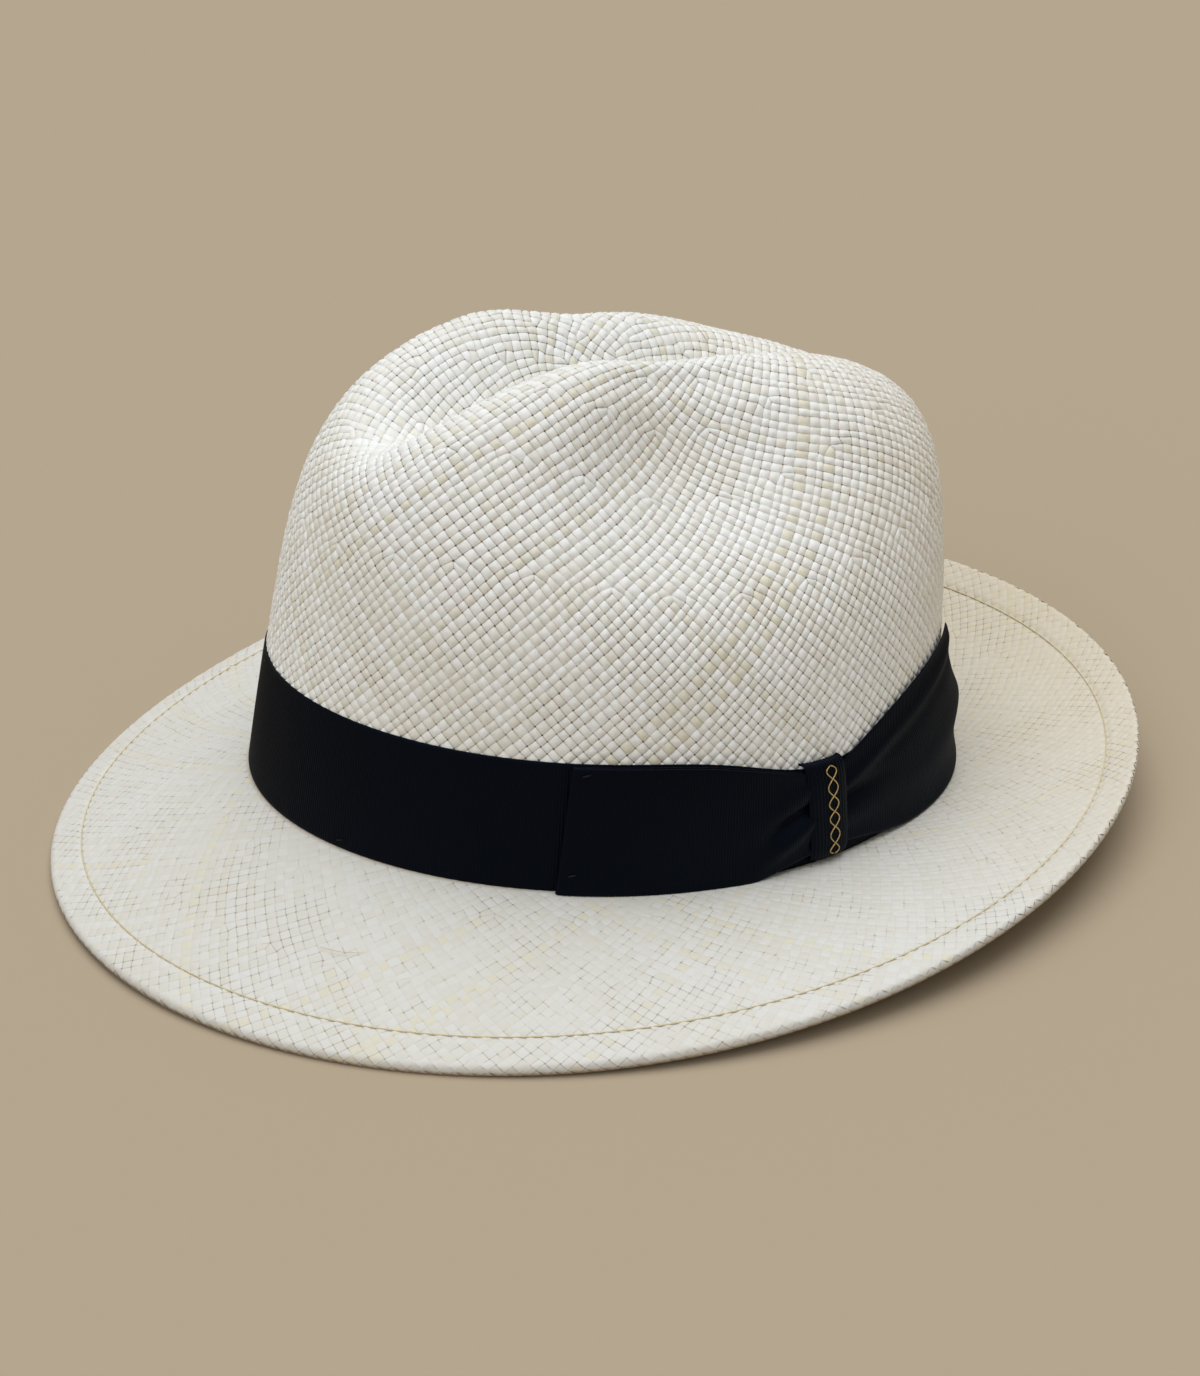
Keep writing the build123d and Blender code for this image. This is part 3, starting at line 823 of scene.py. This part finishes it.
def ribbon_looks(name, dark, light, sheen):
    """Grosgrain ribbon: fine weft threads along it, a soft sheen and a slight fading."""
    looks = Looks(name, sheen_weight=sheen, sheen_roughness=0.4, specular_ior_level=0.1)
    looks.put(looks.shader.inputs["Specular Tint"], (0.5, 0.7, 1.0))
    looks.put(looks.shader.inputs["Sheen Tint"], (0.5, 0.7, 1.0))
    rib = looks.read("weft")
    threads = looks.noise(looks.scaled(rib, 1.0, 7.0, 1.0), 1.0, 2.0)
    patches = looks.noise(looks.place(), 55.0, 3.0)
    share = looks.reckon("MULTIPLY", looks.span(threads, 0.35, 0.75), looks.span(patches, 0.3, 0.8, 0.4, 1.0))
    colour = looks.mix(share, dark, light)
    weft = looks.add("TexWave", {"Vector": rib, "Scale": 0.8}, 1, bands_direction="Y")
    height = looks.reckon("ADD", looks.reckon("MULTIPLY", weft, 0.5), threads)
    return looks.finish(colour, looks.bumped(height, 0.00005, 0.5), looks.span(threads, 0.3, 0.7, 0.4, 0.6))


@once
def navy_grosgrain():
    return ribbon_looks("navy_grosgrain", (0.0010, 0.0014, 0.0034), (0.0022, 0.0032, 0.0075), 0.003)


@once
def navy_satin():
    """Smooth ribbon for the small bow inside."""
    looks = Looks("navy_satin", sheen_weight=0.1, sheen_roughness=0.3, specular_ior_level=0.4)
    threads = looks.noise(looks.scaled(looks.place(), 300.0, 300.0, 6000.0), 1.0, 2.0)
    worn = looks.noise(looks.place(), 120.0, 2.0)
    colour = looks.mix(looks.span(worn, 0.35, 0.7), srgb(20, 24, 40), srgb(32, 38, 58))
    return looks.finish(colour, looks.bumped(threads, 0.00008, 0.5), looks.span(threads, 0.3, 0.7, 0.25, 0.4))


@once
def tan_leather():
    """Smooth roan leather: fine pores, soft creases across the band and darker handled patches."""
    looks = Looks("tan_leather", specular_ior_level=0.4, sheen_weight=0.05)
    pores = looks.add("TexVoronoi", {"Vector": looks.place(), "Scale": 1100.0})
    creases = looks.noise(looks.scaled(looks.place(), 260.0, 260.0, 60.0), 1.0, 4.0)
    handled = looks.noise(looks.place(), 26.0, 3.0)
    colour = looks.mix(looks.span(handled, 0.35, 0.7), srgb(196, 160, 120), srgb(168, 128, 88))
    colour = looks.mix(looks.span(creases, 0.3, 0.5, 0.35, 0.0), colour, srgb(128, 92, 60))
    height = looks.reckon("ADD", looks.reckon("MULTIPLY", pores, 0.35), looks.span(creases, 0.3, 0.6))
    return looks.finish(colour, looks.bumped(height, 0.00015, 0.6), looks.span(handled, 0.3, 0.7, 0.58, 0.4))


@once
def cotton_tape():
    """Woven cotton tape with a fine twill line."""
    looks = Looks("cotton_tape", sheen_weight=0.3, sheen_roughness=0.6, specular_ior_level=0.2)
    place = looks.place()
    lines = {"Vector": place, "Scale": 420.0, "Distortion": 0.6}
    twill = looks.add("TexWave", lines, 1, bands_direction="DIAGONAL")
    fluff = looks.noise(place, 900.0, 3.0)
    soiled = looks.noise(place, 40.0, 2.0)
    colour = looks.mix(looks.span(soiled, 0.35, 0.7), srgb(226, 217, 194), srgb(206, 194, 166))
    colour = looks.mix(looks.span(twill, 0.0, 0.4, 0.3, 0.0), colour, srgb(164, 150, 122))
    height = looks.reckon("ADD", twill, looks.reckon("MULTIPLY", fluff, 0.6))
    return looks.finish(colour, looks.bumped(height, 0.00012, 0.6), looks.span(fluff, 0.3, 0.7, 0.7, 0.9))


@once
def woven_label():
    """A blank satin label."""
    looks = Looks("woven_label", sheen_weight=0.2, sheen_roughness=0.4, specular_ior_level=0.35)
    threads = looks.noise(looks.scaled(looks.place(), 5000.0, 5000.0, 400.0), 1.0, 2.0)
    aged = looks.noise(looks.place(), 90.0, 2.0)
    colour = looks.mix(looks.span(aged, 0.3, 0.7), srgb(240, 236, 224), srgb(226, 219, 200))
    return looks.finish(colour, looks.bumped(threads, 0.00006, 0.5), looks.span(threads, 0.3, 0.7, 0.35, 0.5))


@once
def pale_reed():
    """The milky plastic reed."""
    looks = Looks("pale_reed", subsurface_weight=0.2, specular_ior_level=0.4)
    looks.put(looks.shader.inputs["Subsurface Scale"], 0.001)
    streaks = looks.noise(looks.scaled(looks.place(), 80.0, 80.0, 1500.0), 1.0, 3.0)
    colour = looks.mix(looks.span(streaks, 0.35, 0.65), srgb(222, 221, 214), srgb(204, 202, 190))
    return looks.finish(colour, looks.bumped(streaks, 0.00003, 0.4), looks.span(streaks, 0.3, 0.7, 0.35, 0.5))


def thread_looks(looks, dark, pale, scale=2500.0, strength=0.5):
    """Twisted thread, with painted shade where it turns under and a painted highlight where it stands proud.
    """
    twist = looks.noise(looks.place(), scale, 2.0)
    # Painted shade and highlight: the twist noise darkens and lightens the colour.
    colour = looks.mix(looks.span(twist, 0.35, 0.65), dark, pale)
    return looks.finish(colour, looks.bumped(twist, 0.0001, strength))


@once
def cream_thread():
    looks = Looks("cream_thread", roughness=0.6, sheen_weight=0.3)
    return thread_looks(looks, srgb(204, 194, 166), srgb(236, 228, 206))


@once
def navy_thread():
    looks = Looks("navy_thread", roughness=0.5, specular_ior_level=0.2)
    return thread_looks(looks, srgb(10, 12, 18), srgb(22, 25, 32))


@once
def ochre_thread():
    looks = Looks("ochre_thread", roughness=0.6, sheen_weight=0.3)
    return thread_looks(looks, srgb(200, 183, 138), srgb(224, 211, 172))


@once
def gold_thread():
    looks = Looks("gold_thread", roughness=0.35, metallic=0.6, sheen_weight=0.2)
    return thread_looks(looks, srgb(176, 142, 74), srgb(222, 194, 126), scale=3000.0, strength=0.6)


# ---------------------------------------------------------------- ribbon


# The ribbon's ribs, in millimetres: from one to the next, and how far each stands out
RIB_PITCH = 0.8
RIB_RELIEF = 0.08
HALF_SHEET = RIBBON / 2


def ribbon(name, centre, material, rows=10, pitch=RIB_PITCH, relief=RIB_RELIEF, around=False):
    """A ribbed ribbon. centre(a, b) is its middle surface, at ways 0 to 1 along its ribs' row and across."""
    rough = np.linspace(0, 1, 600)
    line = centre(rough[None, :], np.array([[0.5]]))[0]
    length = np.concatenate([[0], np.cumsum(np.linalg.norm(np.diff(line, axis=0), axis=1))])
    ribs = int(round(length[-1] / pitch))
    run = np.linspace(0, ribs, ribs * 4 + (0 if around else 1), endpoint=not around)
    a = np.interp(run / ribs * length[-1], length, rough)[None, :]
    selvedge = np.array([0.0, 0.008, 0.025])
    b = np.concatenate([selvedge, np.linspace(0.05, 0.95, rows), 1 - selvedge[::-1]])[:, None]
    middle = centre(a, b)
    if around:
        lengthwise = np.roll(middle, -1, axis=1) - np.roll(middle, 1, axis=1)
    else:
        lengthwise = np.gradient(middle, axis=1)
    normal = unit(np.cross(lengthwise, np.gradient(middle, axis=0)))
    inset = np.clip(np.minimum(b, 1 - b) / selvedge[-1], 0, 1)
    rib = relief * np.cos(TURN * run)[None, :] * inset
    half = HALF_SHEET * (0.35 + 0.65 * np.sqrt(inset))
    outer = middle + normal * (half + rib)[..., None]
    inner = middle - normal * (half - rib)[..., None]
    piece = slab(name, outer, inner, material, around)
    across = np.linalg.norm(middle[-1] - middle[0], axis=-1).mean() * b
    weft = np.stack(np.broadcast_arrays(run[None, :] * pitch, across, 0 * a), -1).reshape(-1, 3)
    attribute(piece, "weft", np.concatenate([weft, weft]))
    return piece


def place_ribbon(piece, cut, held, rests_on, *nodes):
    """Hang a piece of ribbon on the hat: what it stands for, and the size that it was cut to, in metres,
    which is not used.
    """
    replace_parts(piece, *nodes)
    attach(piece, "hat")


def hatband():
    """The ribbon around the foot of the crown."""

    def centre(a, b):
        return wall(TURN * a, band_top(TURN * a) * b, BAND_OUT + HALF_SHEET)

    band = ribbon("hatband", centre, navy_grosgrain(), around=True)
    place_ribbon(band, (0.0346, 0.594), "stretched", ["crown_side"], "hatband")


def loop_pleat(way, b):
    """The hollow and the ridges where the loop is gathered into the keeper."""
    line = 0.66 - 1.05 * (1 - way)
    hollow = -PLEAT_HOLLOW * bump(b - line, 0.07) * smooth((way - 0.7) / 0.16)
    ridge = PLEAT_RIDGE * bump(b - line + 0.2, 0.11) + PLEAT_LOW_RIDGE * bump(b - line - 0.2, 0.13)
    fine = PLEAT_FINE * np.sin(TURN * 5 * (b - line)) * smooth((way - 0.86) / 0.1)
    return hollow + ridge * bump(way - 0.84, 0.13) + fine


def loop_surface(a, b):
    """The loop's ribbon: its back layer out from the keeper, a round fold, and its front layer back."""
    signed = 2 * a - 1
    rounded = np.sqrt(signed**2 + LOOP_FOLD**2)
    way = rounded - LOOP_FOLD
    front, back = LOOP_OUT + HALF_SHEET, LOOP_BACK_OUT + HALF_SHEET
    side = signed / rounded
    puff = LOOP_PUFF * bump(way - 0.6, 0.3) + LOOP_RIPPLE * np.sin(way * 9) * bump(b - 0.5, 0.5)
    out = (front + back) / 2 + side * (front - back) / 2
    out = out + np.where(signed > 0, puff + loop_pleat(way, b), 0) * smooth(signed / 0.1)
    slant = 0.03 * (1 - b) * (1 - way) ** 2
    t = math.radians(BOW_START) + math.radians(KEEPER_ANGLE - BOW_START) * way - slant
    low = LOOP_FOOT + LOOP_FOOT_RISE * smooth((way - 0.55) / 0.45)
    high = band_top(t) - LOOP_BELOW_BAND
    return wall(t, low + (high - low) * b, out)


def bow_loop():
    loop = ribbon("bow_loop", loop_surface, navy_grosgrain(), rows=48)
    place_ribbon(loop, (0.0355, 0.136), "folded", ["hatband"], "bow_loop", "bow_loop_back")


def tail_top(a):
    """The tail's upper edge, which climbs the crown from the keeper to the cut end."""
    free = np.maximum(a - TAIL_COVERED, 0) / (1 - TAIL_COVERED)
    return TAIL_TOP_START + TAIL_RISE * (1 - (1 - free) ** TAIL_RISE_CURVE)


def tail_surface(a, b):
    """The tail: gathered at the keeper, fanned out, and cut off in a slightly wavy line."""
    gather = 1 - smooth(a / 0.4)
    ridges = TAIL_UPPER_RIDGE * bump(b - 0.7, 0.1) + TAIL_LOWER_RIDGE * bump(b - 0.3, 0.12)
    folds = ridges - TAIL_FOLD * bump(b - 0.52, 0.08)
    crease = TAIL_CREASE * (bump(b - 0.7 - 0.22 * a, 0.05) - bump(b - 0.6 - 0.22 * a, 0.06))
    waves = TAIL_WAVES * np.sin(TURN * (2.3 * b + 0.15)) * a**2 * (1 - smooth((b - 0.8) / 0.2))
    stand_off = TAIL_STANDS_OFF * smooth(a / 0.95) * (1 - smooth((b - 0.5) / 0.5))
    out = LOOP_BACK_OUT + HALF_SHEET + 0.5 * (1 - b) + stand_off + waves
    out = out + folds * gather * smooth(a / 0.05 + 0.3) + crease * smooth(a / 0.3)
    trim = 0.014 * np.sin(TURN * 2.3 * b) - 0.02 * (1 - b) ** 2
    t = math.radians(KEEPER_ANGLE + 1) + (math.radians(BOW_END - KEEPER_ANGLE - 1) + trim) * a
    low = TAIL_FOOT - TAIL_FOOT_FALL * smooth(a / 0.5)
    return wall(t, low + (tail_top(a) - low) * b, out)


def bow_tail():
    tail = ribbon("bow_tail", tail_surface, navy_grosgrain(), rows=48)
    place_ribbon(tail, (0.0365, 0.073), "gathered", ["hatband"], "bow_tail")


def keeper_surface(a, b):
    """The keeper: a strap that goes over the bow, and turns in above and below it."""
    turn = (b - 0.5) * math.pi
    rise, reach = np.sin(turn), np.maximum(np.cos(turn), 0)
    scale = (abs(rise) ** 4 + reach**4) ** (-1 / 4)
    height = (KEEPER_HIGH + KEEPER_LOW) / 2 + (KEEPER_HIGH - KEEPER_LOW) / 2 * rise * scale
    out = KEEPER_BACK + (KEEPER_FRONT - KEEPER_BACK) * reach * scale
    out = out - KEEPER_SIDE_DROP * (2 * a - 1) ** 4
    across = (a - 0.5) * (KEEPER_ARC + 0.012 * (b - 0.5))
    t = math.radians(KEEPER_ANGLE) + across + 0.03 * (0.5 - b)
    return wall(t, height, out)


def bow_keeper():
    keeper = ribbon("bow_keeper", keeper_surface, navy_grosgrain(), rows=60, pitch=1.1, relief=0.13)
    place_ribbon(keeper, (0.0115, 0.034), "folded", ["bow_loop", "bow_tail"], "bow_keeper")


def keeper_motif():
    """A plain braid of two gold threads down the keeper."""
    parts = []
    low, high = 0.2, 0.8
    b = np.linspace(low, high, 150)
    facing = outward(np.full_like(b, math.radians(KEEPER_ANGLE)))
    for phase in (0.0, 0.5):
        turn = TURN * (MOTIF_TURNS * (b - low) / (high - low) + phase)
        spot = keeper_surface(0.57 + 0.13 * np.sin(turn), b)
        stands = MOTIF_STANDS + MOTIF_OVER * np.cos(turn)
        parts.append(tube(spot + facing * stands[:, None], MOTIF_RADIUS, sides=6, taper=3))
    motif = mesh_object("keeper_motif", *joined(parts), gold_thread())
    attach(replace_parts(motif, "keeper_motif"), "hat")


def hand_stitches(name, spots, out, node, material):
    """Short stitches that hold the ribbon down, given as angles and heights."""
    parts = []
    for angle, height in spots:
        way = np.linspace(-1, 1, 7)
        t = math.radians(angle) + way * 0.012
        proud = out + 0.25 * (1 - way**4)
        parts.append(tube(wall(t, height + 0.3 * way, proud), THREAD / 2, 6, 2))
    stitches = mesh_object(name, *joined(parts), material)
    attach(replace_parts(stitches, node), "hat")


def ribbon_pieces():
    hatband()
    bow_loop()
    bow_tail()
    bow_keeper()
    keeper_motif()
    near_foot, near_top = 2.2, 32.8
    band_spots = [(angle, near_foot) for angle in (-150, -60, 20)]
    band_spots += [(angle, near_top) for angle in (-105, -15)]
    hand_stitches("hatband_tacks", band_spots, BAND_OUT + RIBBON, "hatband_tacks", navy_thread())
    bow_spots = [(BOW_START + 0.5, 5.5), (BOW_START + 2, 32.5), (BOW_START + 30, 2.4)]
    hand_stitches("bow_tacks", bow_spots, LOOP_OUT + RIBBON, "bow_tacks", navy_thread())


# ---------------------------------------------------------------- hem


def hem_stitches():
    """Short stitches along the hem's seam, on both faces of the brim."""
    part = 1 - HEM_WIDTH / BRIM_WIDTH
    pitch = TURN / HEM_STITCHES
    parts = []
    for face_drop in (0.02, HEM_THICKNESS):
        for n in range(HEM_STITCHES):
            t = n * pitch + np.linspace(-0.02, 1.02, 7) * pitch
            path = brim(t, part, drop=face_drop - 0.08 * np.sign(0.5 - face_drop))
            parts.append(tube(path, 0.22, sides=5, taper=1))
    verts, faces = joined(parts)
    thread = mesh_object("hem_stitches", verts, faces, ochre_thread())
    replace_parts(thread, "hem_thread_rear", "hem_thread_front")
    bend_with_brim(thread)


def brim_wire_ring():
    """The spring wire inside the folded hem, which keeps the brim's edge in shape."""
    t = np.linspace(0, TURN, 241)
    path = brim(t, 1 - 1.6 / BRIM_WIDTH, drop=HEM_THICKNESS / 2)
    verts, faces = tube(path, 0.5, sides=8)
    wire = mesh_object("brim_wire", verts, faces, spring_wire())
    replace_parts(wire, "brim_wire_rear", "brim_wire_front")
    bend_with_brim(wire)


@once
def spring_wire():
    looks = Looks("spring_wire", metallic=1.0, roughness=0.3)
    scratches = looks.noise(looks.scaled(looks.place(), 200.0, 200.0, 2000.0), 1.0, 3.0)
    colour = looks.mix(looks.span(scratches, 0.4, 0.6), srgb(150, 150, 152), srgb(180, 180, 182))
    return looks.finish(colour, looks.bumped(scratches, 0.00002, 0.4))


def stray_fibre():
    """One loose end of straw that has lifted off the brim."""
    way = np.linspace(0, 1, 16)
    t = math.radians(34) - 0.12 * way
    path = brim(t, 0.5 + 0.05 * way + 0.02 * np.sin(4 * way), drop=-0.3 - 0.8 * np.sin(math.pi * way))
    fibre = mesh_object("stray_fibre", *tube(path, 0.09, sides=5, taper=6), ochre_thread())
    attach(fibre, "hat")


# ---------------------------------------------------------------- inside


def sweat_out(height):
    """How far in from the crown's wall the sweatband's outer face lies."""
    return SWEAT_OUT - SWEAT_LEAN * (np.maximum(height, 0) / SWEAT_TOP) ** 1.5


def lining_face(t, height, gap):
    """A point a gap in from the sweatband's inner face."""
    return wall(t, height, sweat_out(height) - LEATHER - gap)


def sweatband():
    """The leather band that meets the head, a little rippled towards its free upper edge."""
    t = np.linspace(0, TURN, 540, endpoint=False)[None, :]
    close_rows = [0.0, 0.1, 0.3]
    foot = [SWEAT_BOTTOM + step for step in close_rows]
    head = [SWEAT_TOP - step for step in reversed(close_rows)]
    between = np.linspace(SWEAT_BOTTOM + 0.8, SWEAT_TOP - 0.8, 30)
    height = np.concatenate([foot, between, head])[:, None]
    ripple = SWEAT_RIPPLE * np.sin(17 * t + 2 * np.sin(3 * t)) * smooth(height / SWEAT_TOP)
    from_edge = np.minimum(height - SWEAT_BOTTOM, SWEAT_TOP - height) + 0.05
    rounded = LEATHER * 0.5 * smooth(from_edge / 0.4)
    middle = sweat_out(height) - LEATHER / 2 + ripple
    outer, inner = wall(t, height, middle + rounded), wall(t, height, middle - rounded)
    band = slab("sweatband", outer, inner, tan_leather(), around=True)
    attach(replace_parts(band, "sweatband"), "hat")


def sweatband_reed():
    """The reed that stiffens the sweatband's lower edge."""
    path = wall(np.linspace(0, TURN, 241), REED_HEIGHT, SWEAT_OUT - LEATHER / 2)
    reed = mesh_object("sweatband_reed", *tube(path, REED_RADIUS, sides=10), pale_reed())
    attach(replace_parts(reed, "sweatband_reed"), "hat")


def tape_section(share, radius):
    """Height and distance out of the folded tape: from one top edge, under the reed, to the other."""
    leg = TAPE_TOP - TAPE_BOTTOM - TAPE_HALF
    turn = np.clip((share * (2 * leg + math.pi * TAPE_HALF) - leg) / TAPE_HALF, 0, math.pi)
    first = np.clip(1 - share * (2 * leg + math.pi * TAPE_HALF) / leg, 0, 1)
    last = np.clip((share - 1) * (2 * leg + math.pi * TAPE_HALF) / leg + 1, 0, 1)
    height = TAPE_BOTTOM + TAPE_HALF + leg * (first + last) - radius * np.sin(turn)
    return height, SWEAT_OUT - LEATHER / 2 - radius * np.cos(turn)


def reed_tape():
    """The tape folded under the reed."""
    t = np.linspace(0, TURN, 480, endpoint=False)[None, :]
    share = np.linspace(0, 1, 30)[:, None]
    outer, inner = (wall(t, *tape_section(share, radius)) for radius in (TAPE_HALF, TAPE_HALF - TAPE))
    tape = slab("reed_tape", outer, inner, cotton_tape(), around=True)
    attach(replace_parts(tape, "reed_tape"), "hat")


def sweatband_thread():
    """Zigzag stitches through the tape and the leather, on the side that meets the head."""
    parts = []
    for n in range(ZIGZAG_STITCHES):
        way = np.linspace(0, 1, 6)
        t = (n + way) * TURN / ZIGZAG_STITCHES
        height = TAPE_STITCH_HEIGHT + 0.55 * (-1) ** n * (2 * way - 1)
        out = SWEAT_OUT - LEATHER / 2 - TAPE_HALF - 0.1
        parts.append(tube(wall(t, height, out), THREAD / 2, sides=5, taper=1))
    stitches = mesh_object("sweatband_thread", *joined(parts), cream_thread())
    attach(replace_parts(stitches, "sweatband_thread"), "hat")


def inner_patch(angles, heights, gap, thickness, steps=(40, 30)):
    """Points and faces of a flat piece on the sweatband's inner face, thinner at its edges."""
    a = np.linspace(0, 1, steps[0])[None, :]
    b = np.linspace(0, 1, steps[1])[:, None]
    t = np.radians(angles[0] + (angles[1] - angles[0]) * a) + 0 * b
    height = heights[0] + (heights[1] - heights[0]) * b + 0 * a
    edge = smooth(np.minimum(np.minimum(a, 1 - a), np.minimum(b, 1 - b)) / 0.06)
    front = gap + thickness * (0.35 + 0.65 * edge)
    return slab_mesh(lining_face(t, height, gap), lining_face(t, height, front))


def seam_tape():
    """The tape over the sweatband's join at the back of the head."""
    tape = mesh_object("seam_tape", *inner_patch((177, 183), (7, 33), 0.15, 0.4), cotton_tape())
    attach(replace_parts(tape, "seam_tape"), "hat")


def bow_half(side):
    """One flat loop of the small bow, which narrows into the knot."""
    a = np.linspace(0, 1, 36)[None, :]
    b = np.linspace(0, 1, 20)[:, None]
    t = np.radians(BACK_SEAM + side * (0.6 + 9.9 * a)) + 0 * b
    half = 3.0 * (0.45 + 0.55 * smooth(a / 0.5)) * (1 - 0.12 * a**4)
    height = 12 + half * (2 * b - 1) - 0.6 * a
    round_edge = np.sqrt(np.maximum(1 - (2 * b - 1) ** 4, 0)) * np.sqrt(np.maximum(1 - a**8, 0))
    pleat = 0.25 * np.cos(TURN * 2 * b) * (1 - smooth(a / 0.6))
    front = 0.75 + (1.1 * round_edge + pleat * round_edge) * (0.7 + 0.3 * bump(a - 0.5, 0.4))
    back, face = lining_face(t, height, 0.7), lining_face(t, height, front)
    return slab_mesh(back, face) if side > 0 else slab_mesh(back[:, ::-1], face[:, ::-1])


def sweatband_bow():
    """The small bow that marks the back of the sweatband: two flat loops and a knot."""
    knot = inner_patch((BACK_SEAM - 1.1, BACK_SEAM + 1.1), (9.8, 14.2), 0.7, 2.0, steps=(20, 24))
    bow = mesh_object("sweatband_bow", *joined([bow_half(-1), bow_half(1), knot]), navy_satin())
    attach(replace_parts(bow, "sweatband_bow"), "hat")


def size_label():
    """A blank woven label at the upper edge of the sweatband."""
    label = mesh_object("size_label", *inner_patch((158, 165.5), (21.4, 31.5), 0.15, 0.3), woven_label())
    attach(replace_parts(label, "size_label"), "hat")


def inside_pieces():
    sweatband()
    sweatband_reed()
    reed_tape()
    sweatband_thread()
    seam_tape()
    sweatband_bow()
    size_label()


# ---------------------------------------------------------------- stage


# Where the camera stands, in metres from the point that it aims at, its lens in millimetres, and the light
CAMERA_AZIMUTH = math.radians(59.89)
CAMERA_ELEVATION = math.radians(26.28)
CAMERA_ROLL = math.radians(-1.24)
CAMERA_DISTANCE = 0.743
CAMERA_LENS = 69.2
CAMERA_AIM = Vector((0.0067, -0.0033, 0.0363))
FLOOR_HALF = 4.0
LAMP_COLOUR = (0.97, 0.985, 1.0)
SKY_COLOUR = (1.0, 0.965, 0.91, 1)
SKY_STRENGTH = 0.33


def camera():
    """Looks down on the hat from in front of its left side."""
    level = math.cos(CAMERA_ELEVATION)
    across, ahead = math.sin(CAMERA_AZIMUTH), math.cos(CAMERA_AZIMUTH)
    back = Vector((across * level, -ahead * level, math.sin(CAMERA_ELEVATION)))
    right = Vector((ahead, across, 0))
    turned = Matrix.Rotation(CAMERA_ROLL, 3, back) @ right
    data = bpy.data.cameras.new("camera")
    data.lens = CAMERA_LENS
    data.sensor_width = 36
    data.clip_start = 0.01
    made = bpy.data.objects.new("camera", data)
    bpy.context.scene.collection.objects.link(made)
    axes = Matrix((turned, back.cross(turned), back)).transposed().to_4x4()
    made.matrix_world = Matrix.Translation(CAMERA_AIM + back * CAMERA_DISTANCE) @ axes
    bpy.context.scene.camera = made


def floor():
    """A plain paper floor that runs far past the hat."""
    mesh = bpy.data.meshes.new("floor")
    far = FLOOR_HALF
    corners = [(-far, -far, 0), (far, -far, 0), (far, far, 0), (-far, far, 0)]
    mesh.from_pydata(corners, [], [(0, 1, 2, 3)])
    looks = Looks("floor_paper", roughness=0.95, specular_ior_level=0.1)
    mesh.materials.append(looks.finish(srgb(177, 162, 140)))
    made = bpy.data.objects.new("floor", mesh)
    bpy.context.scene.collection.objects.link(made)


def soft_light(name, place, spread, strength):
    """Even light from a wide soft source, which comes from the direction of place."""
    data = bpy.data.lights.new(name, "SUN")
    data.angle = math.radians(spread)
    data.energy = strength
    data.color = LAMP_COLOUR
    made = bpy.data.objects.new(name, data)
    bpy.context.scene.collection.objects.link(made)
    made.location = place
    made.rotation_euler = (-Vector(place)).to_track_quat("-Z", "Y").to_euler()


def lights():
    world = bpy.data.worlds.new("world")
    bpy.context.scene.world = world
    world.use_nodes = True
    sky = world.node_tree.nodes["Background"].inputs
    sky["Color"].default_value = SKY_COLOUR
    sky["Strength"].default_value = SKY_STRENGTH
    soft_light("overhead", (-0.14, 0.14, 1.0), 60, 1.85)
    soft_light("front", (0.6, -1.2, 1.2), 50, 0.75)


# ---------------------------------------------------------------- the hat


def whole_hat():
    straw_pieces()
    ribbon_pieces()
    hem_stitches()
    brim_wire_ring()
    stray_fibre()
    inside_pieces()


camera()
floor()
lights()
whole_hat()
bpy.context.scene.view_settings.view_transform = "Standard"
